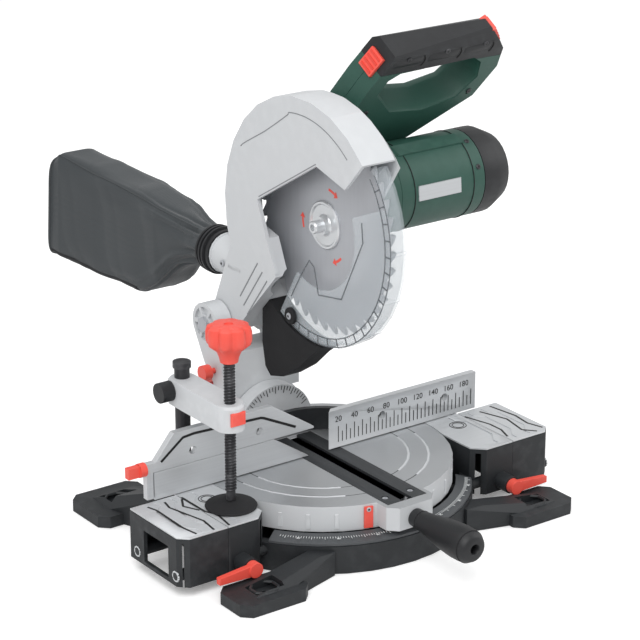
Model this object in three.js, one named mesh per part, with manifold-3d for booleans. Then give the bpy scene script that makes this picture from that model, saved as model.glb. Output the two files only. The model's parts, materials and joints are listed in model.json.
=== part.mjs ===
import * as THREE from 'three';
import { mergeVertices } from 'three/addons/utils/BufferGeometryUtils.js';
import { ConvexGeometry } from 'three/addons/geometries/ConvexGeometry.js';
import Module from 'manifold-3d';

// Compound mitre saw with its head raised, mitre and bevel at zero.
// Millimetres. X runs to the user's right, Y away from the user, Z up from the floor.
// The mitre axis is the vertical line X = Y = 0, and the fence face is the plane Y = 0.

const wasm = await Module();
wasm.setup();

// Fits
const seatGap = 0.3;
const runGap = 0.8;
const overrun = 2;

// Base
const tableHeight = 60;
const ground = 0;
const ringMargin = 20.5;
const ringWall = 10;
const ringTop = 28;
const floorThickness = 5;
const pivotBossRadius = 20;
const pivotBossTop = 34;
const pivotBoltRadius = 5;
const pivotBoltTop = 43;
const pivotHeadRadius = 10;
const pivotHeadHeight = 4;
const scaleClearance = 3.5;
const scaleInset = 1;
const scaleRise = 4;
const scaleThickness = 2.5;
const scaleHalfAngle = 56;
const castingWall = 4;

// Side tables
const wingOverlap = 3.5;
const wingWidth = 46;
const extensionWidth = 52;
const wingFront = 89;
const wingBack = 42;
const wingDepth = 50;
const wingPlate = 1.6;
const wingChamfer = 12;
const grooveWidth = 2.4;
const grooveDepth = 1;
const grooveEnd = 6;
const grooveBend = 9;
const grooveStep = 18;

// Extension tubes and their locks
const railRadius = 5.5;
const railLength = 176;
const railDrop = 40;
const railFrontY = -78;
const railBackY = -12;
const lockInset = 32;
const lockZ = 21;
const lockHubRadius = 7.5;
const lockHubLength = 9;
const lockBossRadius = 9;
const lockBossLength = 16;
const lockLeverLength = 40;
const lockLeverThickness = 6;
const lockLeverTip = 4.5;

// Feet
const footThickness = 12;
const footCorner = 9;
const footBoltRadius = 4;
const footRecess = 5;
const frontFootX = 162;
const frontFootY = -132;
const frontFootWidth = 76;
const frontFootDepth = 50;
const rearFootX = 167;
const rearFootY = 116;
const rearFootWidth = 76;
const rearFootDepth = 66;
const frontLegTop = 24;
const rearLegTop = 44;
const frontLegX = 80;
const frontLegY = -130;
const rearLegX = 140;
const rearLegY = 24;
const legWidth = 18;

// Turntable
const tableRadius = 129.5;
const tablePlate = 6;
const tableSkirt = 26;
const tableSkirtWall = 4;
const arcInnerRadius = 86;
const arcOuterRadius = 106;
const arcFrom = 8;
const arcTo = 66;
const arcSteps = 6;
const armHalfWidth = 28;
const armDrop = 24;
const kerfHalfWidth = 23;
const kerfPlate = 3;
const kerfSlot = 13;
const kerfFrontInset = 13;
const kerfBack = 52;
const slotDepth = 14;
const kerfScrewRadius = 3.2;
const kerfScrewX = 15;
const kerfScrewInset = 28;
const pointerWidth = 9;
const pointerThickness = 2;
const pointerGap = 4.3;
const pointerDrop = 2;

// Mitre grip
const gripLength = 88;
const gripRadius = 17;
const gripRootRadius = 9;
const gripCentreDrop = 14;
const gripRecess = 8;

// Fence
const fenceThickness = 7;
const fenceHeight = 41;
const fenceInnerX = 8;
const fenceOuterX = 196;
const fenceHole = 4;
const fenceHoleZ = 22;
const leftFenceHeight = 28.6;
const leftFenceInnerX = 16;
const leftFenceTopX = 58;
const slideHeight = 35;
const slideFoot = 10;
const slideOuterX = 194;
const slideInnerX = 10;
const slideTopX = 60;
const carrierThickness = 6;
const carrierHeight = 20;
const carrierFootThickness = 7;
const carrierFootWidth = 17;
const fenceFootInset = 35;
const fenceFootY = 27;
const bridgeRadius = 64;
const bridgeHeight = 24;
const bridgeWall = 6;
const fenceScrewRadius = 4.5;
const fenceScrewHeight = 4;
const fenceScrewShank = 2.5;
const endBracketLength = 10;
const fenceLeverLength = 19.5;
const fenceLeverRadius = 7;
const fenceLeverThickness = 7;
const fenceLeverTip = 5.5;

// Bevel hub and bracket
const hubRadius = 46;
const hubStart = 80;
const hubLength = 17;
const hubNeckHalfWidth = 36;
const hubClearance = 56;
const bracketRadius = 48;
const bracketLength = 20;
const hingeY = 132;
const hingeZ = 167;
const bracketLeft = -50;
const bracketRight = 42;
const leftEar = 19;
const rightEar = 18;
const earRadius = 22;
const earFrom = 20;
const earTo = 200;
const pinRadius = 6.5;
const pinHead = 3;
const hubRingDepth = 3;
const hubRingWall = 4;
const hubSpokes = 6;
const hubSpokeGap = 7;
const webShare = 0.74;

// Bevel lever and travel pin
const bevelBoltRadius = 7;
const bevelLeverHub = 15;
const bevelLeverHubRadius = 13;
const bevelLeverThickness = 8;
const bevelLeverWidth = 9;
const bevelLeverReach = 58;
const bevelLeverRise = 42;
const travelPinRadius = 3;
const travelPinLength = 30;
const travelPinPush = 6;
const travelPinY = 116;
const travelPinZ = 122;
const travelKnobRadius = 8;
const travelKnobLength = 9;

// Torsion spring
const springRadius = 12.5;
const springWire = 3.4;
const springCurls = 4.5;
const springPitch = 4.4;
const springOffset = 22;
const springCurlSteps = 8;
const springSides = 5;
const springLegUp = 8;

// Head casting
const bladeY = -7;
const bladeRise = 110;
const guardRadius = 129;
const guardWall = 4;
const guardLeft = -30;
const guardRight = 20;
const guardStart = 42;
const guardEnd = 205;
const lugFrom = 130;
const lugTo = 330;
const bladeSpace = 121.5;
const bladeSpaceLeft = -15;
const hoodTurn = 7;
const hoodSlope = 1.1;
const lugRadius = 19;
const bossRadius = 34;
const bossLip = 27.4;
const bossBore = 24.6;

// Blade and arbor
const bladeRadius = 108;
const bladeTooth = 9;
const bladeTeeth = 40;
const bladeThickness = 2.4;
const bladeBore = 15;
const flangeRadius = 23;
const flangeThickness = 5;
const flangeHub = 13;
const flangeHubLength = 12;
const boltHeadRadius = 8;
const boltHeadLength = 7;
const boltSocket = 4;
const boltShank = 4;
const boltShankEnd = 10;
const arborRadius = 7.5;
const arborEnd = 46;
const arborBore = 8.5;
const arborNose = 1.2;
const gearStart = 26.5;
const gearWidth = 10;
const gearModule = 1.2;
const gearTeeth = 41;
const pinionTeeth = 9;
const bearingRadius = 13;
const bearingWidth = 7;
const bearingInset = 22;

// Lower guard
const lowerRadius = 118;
const lowerWall = 1.7;
const lowerLeft = -13;
const lowerRight = 4.6;
const lowerOpening = 62;
const lowerRing = 38;
const lowerSweep = 162;
const guardRibTurn = 0.8;

// Motor
const motorTilt = 70.3;
const motorRadius = 43;
const motorWall = 3;
const gearboxEnd = 50;
const gearboxWall = 3.5;
const gearboxNose = 31;
const motorEnd = 152;
const capEnd = 189;
const capWall = 3;
const capVents = 4;
const ventWidth = 6;
const shaftRadius = 4;
const coreRadius = 25;
const coreStart = 66;
const coreLength = 44;
const statorWall = 12;
const fanRadius = 36;
const fanWidth = 9;
const fanStart = 53;
const fanBlades = 6;
const fanBladeWidth = 3;
const commutatorRadius = 13;
const commutatorLength = 16;
const glandRadius = 8;
const glandLength = 14;
const motorScrewRadius = 2.6;
const lockPinRadius = 4.5;
const lockPinHeight = 6;
const lockPinTurn = 52;

// Handle
const handleLean = 32;
const handleY = -16;
const handleZ = 405;
const handleThickness = 36;
const handleLeft = 20;
const handleWidth = 166;
const handleFoot = -72;
const handleTall = 150;
const coverWall = 3;
const coverFoot = 48;
const crownFront = 11;
const crownBack = 14;
const crownInset = 1.4;
const triggerWidth = 52;
const triggerHeight = 15;
const triggerThickness = 16;
const triggerTravel = 5;
const triggerX = 108;
const triggerY = 44;
const buttonLength = 22;
const buttonWidth = 20;
const buttonHeight = 7;
const buttonTravel = 3;

// Chip deflector, dust port and bag
const deflectorWidth = 22;
const portX = -8;
const portZ = 229;
const portRadius = 20;
const portWall = 2.5;
const portStart = 118;
const portLength = 36;
const portSeat = 10;
const collarRadius = 25;
const collarLength = 20;
const collarRings = 3;
const bagLength = 226;
const bagWidth = 62;
const bagHeight = 145;
const bagFloor = 150;
const bagDrift = 44;

// Work clamp
const clampX = -144;
const clampPostY = 29;
const clampSpindleY = -52;
const postRadius = 7.5;
const postHeight = 118;
const postFoot = 44;
const postCapRadius = 9;
const postCapHeight = 6;
const spindleRadius = 6;
const spindleTop = 146;
const padRadius = 25;
const padHeight = 6;
const padCup = 9;
const padCupHeight = 9;
const nutRadius = 11;
const nutBottom = 84;
const nutTop = 101;
const armHeight = 14;
const armWidth = 13;
const armLift = 82;
const knobRadius = 22;
const knobHeight = 37;
const knobNeck = 12;
const knobLobes = 8;
const heightKnobRadius = 10;
const heightKnobLength = 14;
const heightStem = 4;
const heightKnobZ = 94;

// Outlines as shares, chosen by hand
const handleShares = [[0, 0.453], [0.06, 0.68], [0.157, 0.947], [0.873, 1], [0.976, 0.86], [1, 0.693],
  [0.916, 0.447], [0.53, 0.147], [0.458, 0], [0.024, 0], [0, 0.28]];
const openingShares = [[0.145, 0.62], [0.18, 0.74], [0.25, 0.79], [0.78, 0.815], [0.85, 0.76], [0.88, 0.62],
  [0.78, 0.46], [0.55, 0.4], [0.3, 0.44]];
const windowShares = [[0.33, -0.434], [0.45, -0.186], [0.566, 0.093], [-0.186, 0.535], [-0.535, 0.442]];
const rightWallShares = [[0.33, -0.457], [0, -0.29], [-0.3, 0]];
const armShares = [[0.33, -0.46], [0.774, -0.934]];
const deflectorShares = [[-0.09, -0.93], [0.03, -1.023], [0.2, -1.178], [0.403, -1.31], [0.574, -1.357],
  [0.643, -1.295], [0.682, -1.1], [0.674, -0.767], [0.6, -0.6], [0.3, -0.85], [0, -0.9]];
const lobeShare = 0.14;
const portFrom = 0.8;
const capFaceShare = 0.8;
const capSlopeShare = 0.42;
const toothShares = [0.16, 0.3];

const handleScrews = [[0.27, 0.88], [0.54, 0.88], [0.81, 0.88], [0.86, 0.48], [0.12, 0.44]].map(([u, v]) => [
  handleLeft + u * handleWidth, handleFoot + v * handleTall]);
const bagShares = [[0, 0.7, 0.386, 0.7], [0.106, 0.8, 0.366, 0.717], [0.2, 0.9, 0.3, 0.75],
  [0.296, 1, 0.14, 0.786], [0.425, 1.02, 0.02, 0.834], [0.704, 1.04, 0.07, 0.91], [0.93, 0.98, 0.117, 0.993],
  [1, 0.85, 0.15, 0.93]];
const legShare = 0.26;
const footPocketShare = 0.2;
const lockRootShare = 0.8;
const grooveShares = [0.16, 0.26, 0.7, 0.84];
const rightHoleShares = [75 / 196, 155 / 196];
const leftHoleShares = [-152 / 196, -75 / 196];
const slideCutShare = 0.6;
const slideHoleShare = 0.36;
const kerfScrewHeadShare = 0.8;
const screwFaceShare = 0.85;
const screwEdgeShare = 0.7;
const screwSocketShare = 0.45;
const gripShares = [[0.88, 0.24], [1, 0.4], [0.92, 0.62], [1, 0.86], [0.9, 1]];
const gripRootShare = 0.14;
const gripFaceShare = 0.93;
const towerFrontShares = [[0, 0.32], [0, 0.5], [0.35, 0.85]];
const towerBackShares = [[1.05, 0.62], [0.58, 0.45], [0.55, 0.32]];
const towerFootShares = [[0, -0.1], [0, 0.5], [0.55, 0.5], [0.55, -0.1]];
const towerFootWidthShare = 0.7;
const leverShares = [[0, 0], [-0.4, 0.7], [-0.55, 1], [-1, 1]];
const headArmShares = [[0.8, -0.1], [0.93, -0.36]];
const gulletShares = [0.82, 0.98];
const gearToothShares = [0.08, 0.27];
const gearTipShare = 0.8;
const gearRootShare = 1.1;
const fanHubShare = 0.5;
const fanRootShare = 0.4;
const guardRibShares = [0.25, 0.4, 0.55, 0.7];
const guardRibRiseShare = 0.6;
const guardNearShare = 0.12;
const ventReachShare = 0.55;
const triggerShares = [[-1, 1], [-1, -0.5], [-0.5, -1], [0.6, -0.8], [1, -0.2], [1, 1]];
const buttonSinkShare = 0.6;
const collarRingShare = 0.55;
const bagCornerShare = 0.45;
const knobNeckShare = 0.3;
const knobFootShare = 0.28;

const tau = 2 * Math.PI;
const fullTurn = 360;
const radians = degrees => degrees * Math.PI / 180;
const mergeGap = 1e-4;

// Places worked out from the sizes above
const ringRadius = tableRadius + ringMargin;
const scaleInner = tableRadius + scaleClearance;
const scaleOuter = ringRadius - scaleInset;
const armFront = ringRadius;
const kerfFront = armFront - kerfFrontInset;
const wingInner = tableRadius - wingOverlap;
const wingSeam = wingInner + wingWidth;
const wingOuter = wingSeam + extensionWidth;
const lockX = wingInner + lockInset;
const fenceFootX = wingInner + fenceFootInset;
const bladeZ = tableHeight + guardRadius + bladeRise;
const pointerTurn = Math.asin((armHalfWidth + pointerGap + pointerWidth / 2) / tableRadius);
const gearDistance = gearModule * (gearTeeth + pinionTeeth) / 2;
const motorY = bladeY - gearDistance * Math.cos(radians(motorTilt));
const motorZ = bladeZ + gearDistance * Math.sin(radians(motorTilt));
const castingTop = tableHeight - wingPlate - seatGap;
const wingBottom = tableHeight - wingDepth;
const railZ = tableHeight - railDrop;
const fenceFoot = tableHeight + runGap;
const gripZ = tableHeight - gripCentreDrop;
const hubEnd = hubStart + hubLength;
const bracketStart = hubEnd + runGap;
const bracketEnd = bracketStart + bracketLength;
const kerfScrews = [-1, 1].map(side => [side * kerfScrewX, kerfScrewInset - armFront]);
const earGapLeft = bracketLeft + leftEar;
const earGapRight = bracketRight - rightEar;
const webTop = tableHeight + webShare * (hingeZ - tableHeight);
const springLeg = hingeZ - webTop - seatGap;
const bladeCentre = [bladeY, bladeZ];
const motorCentre = [motorY, motorZ];
const hinge = [hingeY, hingeZ];
const port = [portX, portZ];
const postSpot = [clampX, clampPostY];
const spindleSpot = [clampX, clampSpindleY];
const travelSpot = [travelPinY, travelPinZ];
const heightKnobSpot = [clampPostY, tableHeight + heightKnobZ];
const bevelAxis = [0, tableHeight];
const middle = [0, 0];

// Solids
function solidOf(geometry) {
  const plain = geometry.clone();
  plain.deleteAttribute('normal');
  plain.deleteAttribute('uv');
  const merged = mergeVertices(plain, mergeGap);
  const places = merged.attributes.position.array;
  const corners = [];
  for (let i = 0; i < merged.index.count; i += 3) {
    const [a, b, c] = [0, 1, 2].map(k => merged.index.array[i + k]);
    if (a !== b && b !== c && a !== c) corners.push(a, b, c);
  }
  if (volumeOf(places, corners) < 0) corners.reverse();
  return new wasm.Manifold(new wasm.Mesh({
    numProp: 3, vertProperties: new Float32Array(places), triVerts: new Uint32Array(corners),
  }));
}

function volumeOf(places, corners) {
  const [a, b, c] = [0, 1, 2].map(() => new THREE.Vector3());
  let sum = 0;
  for (let i = 0; i < corners.length; i += 3) {
    a.fromArray(places, 3 * corners[i]);
    b.fromArray(places, 3 * corners[i + 1]);
    c.fromArray(places, 3 * corners[i + 2]);
    sum += a.dot(b.cross(c)) / 6;
  }
  return sum;
}

const join = (...shapes) => shapes.reduce((all, shape) => all.add(shape));
const carve = (solid, ...tools) => tools.reduce((rest, tool) => rest.subtract(tool), solid);

function outlineOf(points) {
  return new THREE.Shape(points.map(([u, v]) => new THREE.Vector2(u, v)));
}

function extruded(points, depth) {
  return new THREE.ExtrudeGeometry(outlineOf(points), { depth, steps: 1, bevelEnabled: false });
}

// Points are X and Y, and the prism rises from low to high.
function prismZ(points, low, high) {
  return solidOf(extruded(points, high - low).translate(0, 0, low));
}

// Points are Y and Z, and the prism runs to the right.
function prismX(points, left, right) {
  const turn = new THREE.Matrix4().set(0, 0, 1, left, 1, 0, 0, 0, 0, 1, 0, 0, 0, 0, 0, 1);
  return solidOf(extruded(points, right - left).applyMatrix4(turn));
}

// Points are X and Z, and the prism runs to the back.
function prismY(points, front, back) {
  const turn = new THREE.Matrix4().set(1, 0, 0, 0, 0, 0, -1, back, 0, 1, 0, 0, 0, 0, 0, 1);
  return solidOf(extruded(points, back - front).applyMatrix4(turn));
}

function block([x0, x1], [y0, y1], [z0, z1]) {
  const box = new THREE.BoxGeometry(x1 - x0, y1 - y0, z1 - z0);
  return solidOf(box.translate((x0 + x1) / 2, (y0 + y1) / 2, (z0 + z1) / 2));
}

function rodShape(axis, radius, from, to, [u, v], sides) {
  const rod = new THREE.CylinderGeometry(radius, radius, to - from, sides);
  const middle = (from + to) / 2;
  if (axis === 'x') return rod.rotateZ(-Math.PI / 2).translate(middle, u, v);
  if (axis === 'y') return rod.translate(u, middle, v);
  return rod.rotateX(Math.PI / 2).translate(u, v, middle);
}

const rod = (axis, radius, from, to, centre, sides = 20) =>
  solidOf(rodShape(axis, radius, from, to, centre, sides));

// The profile is radius and height about Z.
function turned(profile, sides = 40) {
  const points = profile.map(([r, z]) => new THREE.Vector2(r, z));
  return new THREE.LatheGeometry(points, sides).rotateX(Math.PI / 2);
}

const ringX = (outer, inner, from, to, centre, sides = 20) =>
  carve(rod('x', outer, from, to, centre, sides),
    rod('x', inner, from - overrun, to + overrun, centre, sides));

// Angles are counted from the front, upward, about a centre in the plane of Y and Z.
function arc([y, z], radius, from, to, steps) {
  const points = [];
  for (let i = 0; i <= steps; i++) {
    const angle = radians(from + (to - from) * i / steps);
    points.push([y - radius * Math.cos(angle), z + radius * Math.sin(angle)]);
  }
  return points;
}

// A band of even width along a line of points in a plane.
function band(points, width) {
  const left = [];
  const right = [];
  points.forEach(([x, y], i) => {
    const [ax, ay] = points[Math.max(i - 1, 0)];
    const [bx, by] = points[Math.min(i + 1, points.length - 1)];
    const length = Math.hypot(bx - ax, by - ay);
    const dx = -(by - ay) / length * width / 2;
    const dy = (bx - ax) / length * width / 2;
    left.push([x + dx, y + dy]);
    right.unshift([x - dx, y - dy]);
  });
  return [...left, ...right];
}

function hull(points) {
  return solidOf(new ConvexGeometry(points.map(point => new THREE.Vector3(...point))));
}

const cornersOf = ([x0, x1], [y0, y1], [z0, z1]) =>
  [x0, x1].flatMap(x => [y0, y1].flatMap(y => [z0, z1].map(z => [x, y, z])));

const mirrored = points => points.map(([x, y]) => [-x, y]).reverse();
const onSide = (side, points) => side > 0 ? points : mirrored(points);
const spanOn = (side, from, to) => [side * from, side * to].sort((a, b) => a - b);

// Frames and meshes
const spots = new Map();

function frameAt(parent, spot) {
  const group = new THREE.Group();
  const from = spots.get(parent) ?? [0, 0, 0];
  group.position.set(...spot.map((value, i) => value - from[i]));
  spots.set(group, spot);
  parent.add(group);
  return group;
}

function meshOf(name, solid, [colour, roughness, metalness]) {
  const data = solid.getMesh();
  const geometry = new THREE.BufferGeometry();
  geometry.setAttribute('position', new THREE.BufferAttribute(data.vertProperties, 3));
  geometry.setIndex(new THREE.BufferAttribute(data.triVerts, 1));
  const material = new THREE.MeshStandardMaterial({ color: colour, roughness, metalness, flatShading: true });
  const mesh = new THREE.Mesh(geometry, material);
  mesh.name = name;
  return mesh;
}

// Adds a piece that is modelled in the saw's own frame.
function fit(group, name, solid, look) {
  const mesh = meshOf(name, solid, look);
  mesh.position.set(...spots.get(group).map(value => -value));
  group.add(mesh);
}

// Adds a piece that is modelled about its own origin.
function place(group, name, solid, look, spot, turn = [0, 0, 0]) {
  const mesh = meshOf(name, solid, look);
  mesh.position.set(...spot.map((value, i) => value - spots.get(group)[i]));
  mesh.rotation.set(...turn);
  group.add(mesh);
}

// Looks: colour, roughness and metalness
const baseBlack = [0x222426, 0.55, 0.3];
const silverPaint = [0xc6c8cb, 0.42, 0.35];
const brushed = [0xb9bbbe, 0.35, 0.85];
const darkPlate = [0x3a3c3f, 0.6, 0.2];
const steel = [0xc9cacc, 0.25, 0.95];
const darkSteel = [0x4a4b4d, 0.4, 0.8];
const green = [0x294c43, 0.5, 0];
const red = [0xe9523f, 0.45, 0];
const blackPlastic = [0x1e1f21, 0.55, 0];
const clearPlastic = [0xcfd6d8, 0.1, 0];
const cloth = [0x45494b, 0.9, 0];
const greyScale = [0x8f9294, 0.5, 0.3];
const copper = [0x9c5f38, 0.4, 0.7];

// Making the base
const feet = [
  [-frontFootX, frontFootY, frontFootWidth, frontFootDepth],
  [frontFootX, frontFootY, frontFootWidth, frontFootDepth],
  [-rearFootX, rearFootY, rearFootWidth, rearFootDepth],
  [rearFootX, rearFootY, rearFootWidth, rearFootDepth],
];
const footTop = ground + footThickness;

function footBlock([x, y, width, depth]) {
  const [a, b] = [width / 2, depth / 2];
  const c = footCorner;
  const outline = [[-a + c, -b], [a - c, -b], [a, -b + c], [a, b - c],
    [a - c, b], [-a + c, b], [-a, b - c], [-a, -b + c]];
  return prismZ(outline.map(([u, v]) => [x + u, y + v]), ground, footTop);
}

function footCuts([x, y, width, depth]) {
  const [u, v] = [width * footPocketShare, depth * footPocketShare];
  return [
    block([x - u, x + u], [y - v, y + v], [footTop - footRecess, rearLegTop + overrun]),
    rod('z', footBoltRadius, ground - overrun, footTop, [x, y], 8),
  ];
}

function leg([x, y, width, depth], rootX, rootY, rootWidth, top) {
  const side = Math.sign(x);
  const reach = (x - side * width * legShare) - side * footCorner;
  return hull([
    ...cornersOf([side * rootX, side * (rootX + rootWidth)], [rootY, rootY + rootWidth], [ground, top]),
    ...cornersOf([reach, x + side * width * legShare], [y - depth * legShare, y + depth * legShare],
      [ground, footTop]),
  ]);
}

function wingOutline(inset) {
  return [
    [wingInner + wingChamfer + inset, -wingFront + inset], [wingSeam - inset, -wingFront + inset],
    [wingSeam - inset, wingBack - inset], [wingInner - wingChamfer + inset, wingBack - inset],
    [wingInner + inset, 0], [wingInner - inset / 4, -wingFront + 2 * wingChamfer],
    [wingInner + inset, -wingFront + wingChamfer],
  ];
}

function baseCasting() {
  const low = ground;
  const bowl = solidOf(turned([
    [0, low], [ringRadius, low], [ringRadius, ringTop], [ringRadius - ringWall, ringTop],
    [ringRadius - ringWall, low + floorThickness], [pivotBossRadius, low + floorThickness],
    [pivotBossRadius, pivotBossTop], [0, pivotBossTop],
  ], 40));
  const swing = rod('z', tableRadius + runGap, ringTop, tableHeight + overrun, middle, 40);
  const parts = [bowl];
  for (const side of [-1, 1]) {
    const box = prismZ(onSide(side, wingOutline(0)), wingBottom, castingTop);
    const hollow = block(spanOn(side, wingInner + castingWall, wingSeam - castingWall),
      [-wingFront + castingWall, wingBack - 3 * castingWall], [low - overrun, castingTop - castingWall]);
    parts.push(carve(box, hollow, swing));
    parts.push(rod('y', lockBossRadius, -wingFront - lockBossLength, -wingFront + castingWall,
      [side * lockX, lockZ], 14));
  }
  feet.forEach(foot => parts.push(footBlock(foot)));
  for (const side of [0, 1]) {
    parts.push(leg(feet[side], frontLegX, frontLegY, legWidth, frontLegTop));
    parts.push(leg(feet[side + 2], rearLegX, rearLegY, legWidth, rearLegTop));
  }
  const cuts = feet.flatMap(footCuts);
  for (const side of [-1, 1]) {
    for (const y of [railFrontY, railBackY]) {
      const ends = spanOn(side, ringRadius - 5 * ringWall, wingSeam + overrun);
      cuts.push(rod('x', railRadius + seatGap, ...ends, [y, railZ], 12));
    }
    cuts.push(rod('z', fenceScrewShank + seatGap, castingTop - 2 * castingWall, tableHeight,
      [side * fenceFootX, fenceFootY], 8));
  }
  cuts.push(rod('z', postRadius + seatGap, postFoot, tableHeight, postSpot, 12));
  cuts.push(rod('z', pivotBoltRadius + seatGap, low - overrun, pivotBossTop + overrun, middle, 12));
  cuts.push(rod('z', pivotHeadRadius + seatGap, low - overrun, low + pivotHeadHeight + seatGap, middle, 12));
  return carve(join(...parts), ...cuts);
}

function scaleRing() {
  const low = ringTop + seatGap;
  const ring = solidOf(turned([
    [scaleOuter, low], [scaleOuter, low + scaleThickness], [scaleInner, low + scaleThickness + scaleRise],
    [scaleInner, low + scaleRise], [ringRadius - ringWall, low], [scaleOuter, low],
  ], 48));
  const reach = 2 * ringRadius;
  const side = radians(scaleHalfAngle);
  const wedge = prismZ([[0, 0], [-reach * Math.sin(side), -reach * Math.cos(side)], [0, -reach * 2],
    [reach * Math.sin(side), -reach * Math.cos(side)]], low - overrun, tableHeight);
  return ring.intersect(wedge);
}

// Points along the worn-in zigzag grooves of a table top, as X and Y.
const grooveLine = (x, bend) => [
  [x - bend, overrun - grooveEnd], [x - bend, -wingFront * grooveShares[0]],
  [x, -wingFront * grooveShares[1]], [x, -wingFront * grooveShares[2]],
  [x - bend, -wingFront * grooveShares[3]], [x - bend, -wingFront + grooveEnd],
];

function tableTop(outline, lines, side) {
  const top = prismZ(onSide(side, outline), tableHeight - wingPlate, tableHeight);
  const cuts = lines.map(line => prismZ(onSide(side, band(line, grooveWidth)),
    tableHeight - grooveDepth, tableHeight + overrun));
  return carve(top, ...cuts);
}

function wingPlateAt(side) {
  const swing = rod('z', tableRadius + runGap, wingBottom, tableHeight + overrun, middle, 48);
  const plate = tableTop(wingOutline(seatGap), [grooveLine(wingSeam - grooveEnd, grooveBend)], side);
  return carve(plate, swing,
    rod('z', fenceScrewShank + seatGap, wingBottom, tableHeight + overrun,
      [side * fenceFootX, fenceFootY], 12),
    rod('z', postRadius + seatGap, wingBottom, tableHeight + overrun, postSpot, 16));
}

function extension(side) {
  const inner = wingSeam + seatGap;
  const outline = [[inner, -wingFront], [wingOuter - footCorner, -wingFront],
    [wingOuter, -wingFront + footCorner], [wingOuter, 0], [inner, 0]];
  const shell = carve(
    prismZ(onSide(side, outline), wingBottom, castingTop),
    block(spanOn(side, inner - overrun, wingOuter - castingWall), [-wingFront + castingWall, -castingWall],
      [wingBottom - overrun, castingTop - castingWall]),
    block(spanOn(side, wingOuter - 2 * castingWall, wingOuter + overrun),
      [railFrontY + 3 * castingWall, railBackY - 3 * castingWall],
      [wingBottom + castingWall, castingTop - 3 * castingWall]));
  const ends = spanOn(side, wingOuter - railLength, wingOuter + seatGap);
  const rails = [railFrontY, railBackY].map(y => rod('x', railRadius, ...ends, [y, railZ], 12));
  return join(shell, ...rails);
}

function extensionTop(side) {
  const inner = wingSeam + 2 * seatGap;
  const far = wingOuter - seatGap;
  const outline = [[inner, -wingFront + seatGap], [far - footCorner, -wingFront + seatGap],
    [far, -wingFront + footCorner], [far, -seatGap], [inner, -seatGap]];
  const lines = [1, 2].map(count => grooveLine(wingSeam + count * grooveStep, grooveBend));
  return tableTop(outline, lines, side);
}

function lockLever(side) {
  const hub = rod('y', lockHubRadius, -lockHubLength, 0, middle, 20);
  const y0 = -lockHubLength / 2 - lockLeverThickness / 2;
  const root = lockHubRadius * lockRootShare;
  const outline = [[0, root], [lockLeverLength, lockLeverTip / 2], [lockLeverLength, -lockLeverTip],
    [0, -root]];
  return join(hub, prismY(onSide(side, outline), y0, y0 + lockLeverThickness));
}

// Making the fences
function rightFence() {
  const corner = fenceThickness;
  const face = prismZ([[fenceInnerX, 0], [fenceOuterX, 0], [fenceOuterX, fenceThickness],
    [fenceInnerX + corner, fenceThickness]], fenceFoot, tableHeight + fenceHeight);
  return carve(face, ...fenceHoles(rightHoleShares, fenceHoleZ));
}

const fenceHoles = (shares, z) => shares.map(share =>
  rod('y', fenceHole, -overrun, fenceThickness + overrun, [share * fenceOuterX, tableHeight + z], 16));

function leftFence() {
  const top = tableHeight + leftFenceHeight;
  return prismY([[-fenceOuterX + seatGap, fenceFoot], [-leftFenceInnerX, fenceFoot], [-leftFenceTopX, top],
    [-fenceOuterX + seatGap, top]], 0, fenceThickness);
}

function fenceSlide() {
  const low = tableHeight + leftFenceHeight + seatGap;
  const top = low + slideHeight;
  const depth = [0, fenceThickness];
  const face = prismY([[-slideOuterX, low], [-slideInnerX, low], [-slideInnerX, low + overrun],
    [-slideTopX, top], [-slideOuterX + slideHeight * slideCutShare, top], [-slideOuterX, low + slideFoot]],
  ...depth);
  const left = -slideOuterX - endBracketLength;
  const bracket = block([left, -slideOuterX + overrun], depth, [low, low + slideFoot]);
  const drop = block([left, -fenceOuterX - runGap], depth, [tableHeight + 3 * runGap, low + slideFoot]);
  const holes = fenceHoles(leftHoleShares, leftFenceHeight + slideHeight * slideHoleShare);
  return carve(join(face, drop, bracket), ...holes);
}

function fenceLever() {
  const hub = rod('x', fenceLeverRadius, -fenceLeverThickness, 0, middle, 20);
  const half = fenceLeverThickness / 2;
  return join(hub, block([-fenceLeverLength, -half], [-half, half], [-fenceLeverTip, fenceLeverTip]));
}

function fenceCarrier() {
  const front = fenceThickness + seatGap;
  const back = front + carrierThickness;
  const half = carrierFootWidth / 2;
  const bands = [-1, 1].map(side => join(
    block(spanOn(side, bridgeRadius - bridgeWall, fenceOuterX - seatGap), [front, back],
      [fenceFoot, tableHeight + carrierHeight]),
    block(spanOn(side, fenceFootX - half, fenceFootX + half), [front, fenceFootY + half],
      [tableHeight + seatGap, tableHeight + carrierFootThickness])));
  const height = [tableHeight - overrun, tableHeight + bridgeHeight + overrun];
  const bridge = carve(
    rod('z', bridgeRadius, fenceFoot, tableHeight + bridgeHeight, middle, 36),
    rod('z', bridgeRadius - bridgeWall, ...height, middle, 36),
    block([-2 * bridgeRadius, 2 * bridgeRadius], [-2 * bridgeRadius, front], height));
  const holes = [-1, 1].map(side => rod('z', fenceScrewShank + seatGap,
    tableHeight - overrun, tableHeight + carrierHeight, [side * fenceFootX, fenceFootY], 12));
  return carve(join(...bands, bridge), ...holes);
}

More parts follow.
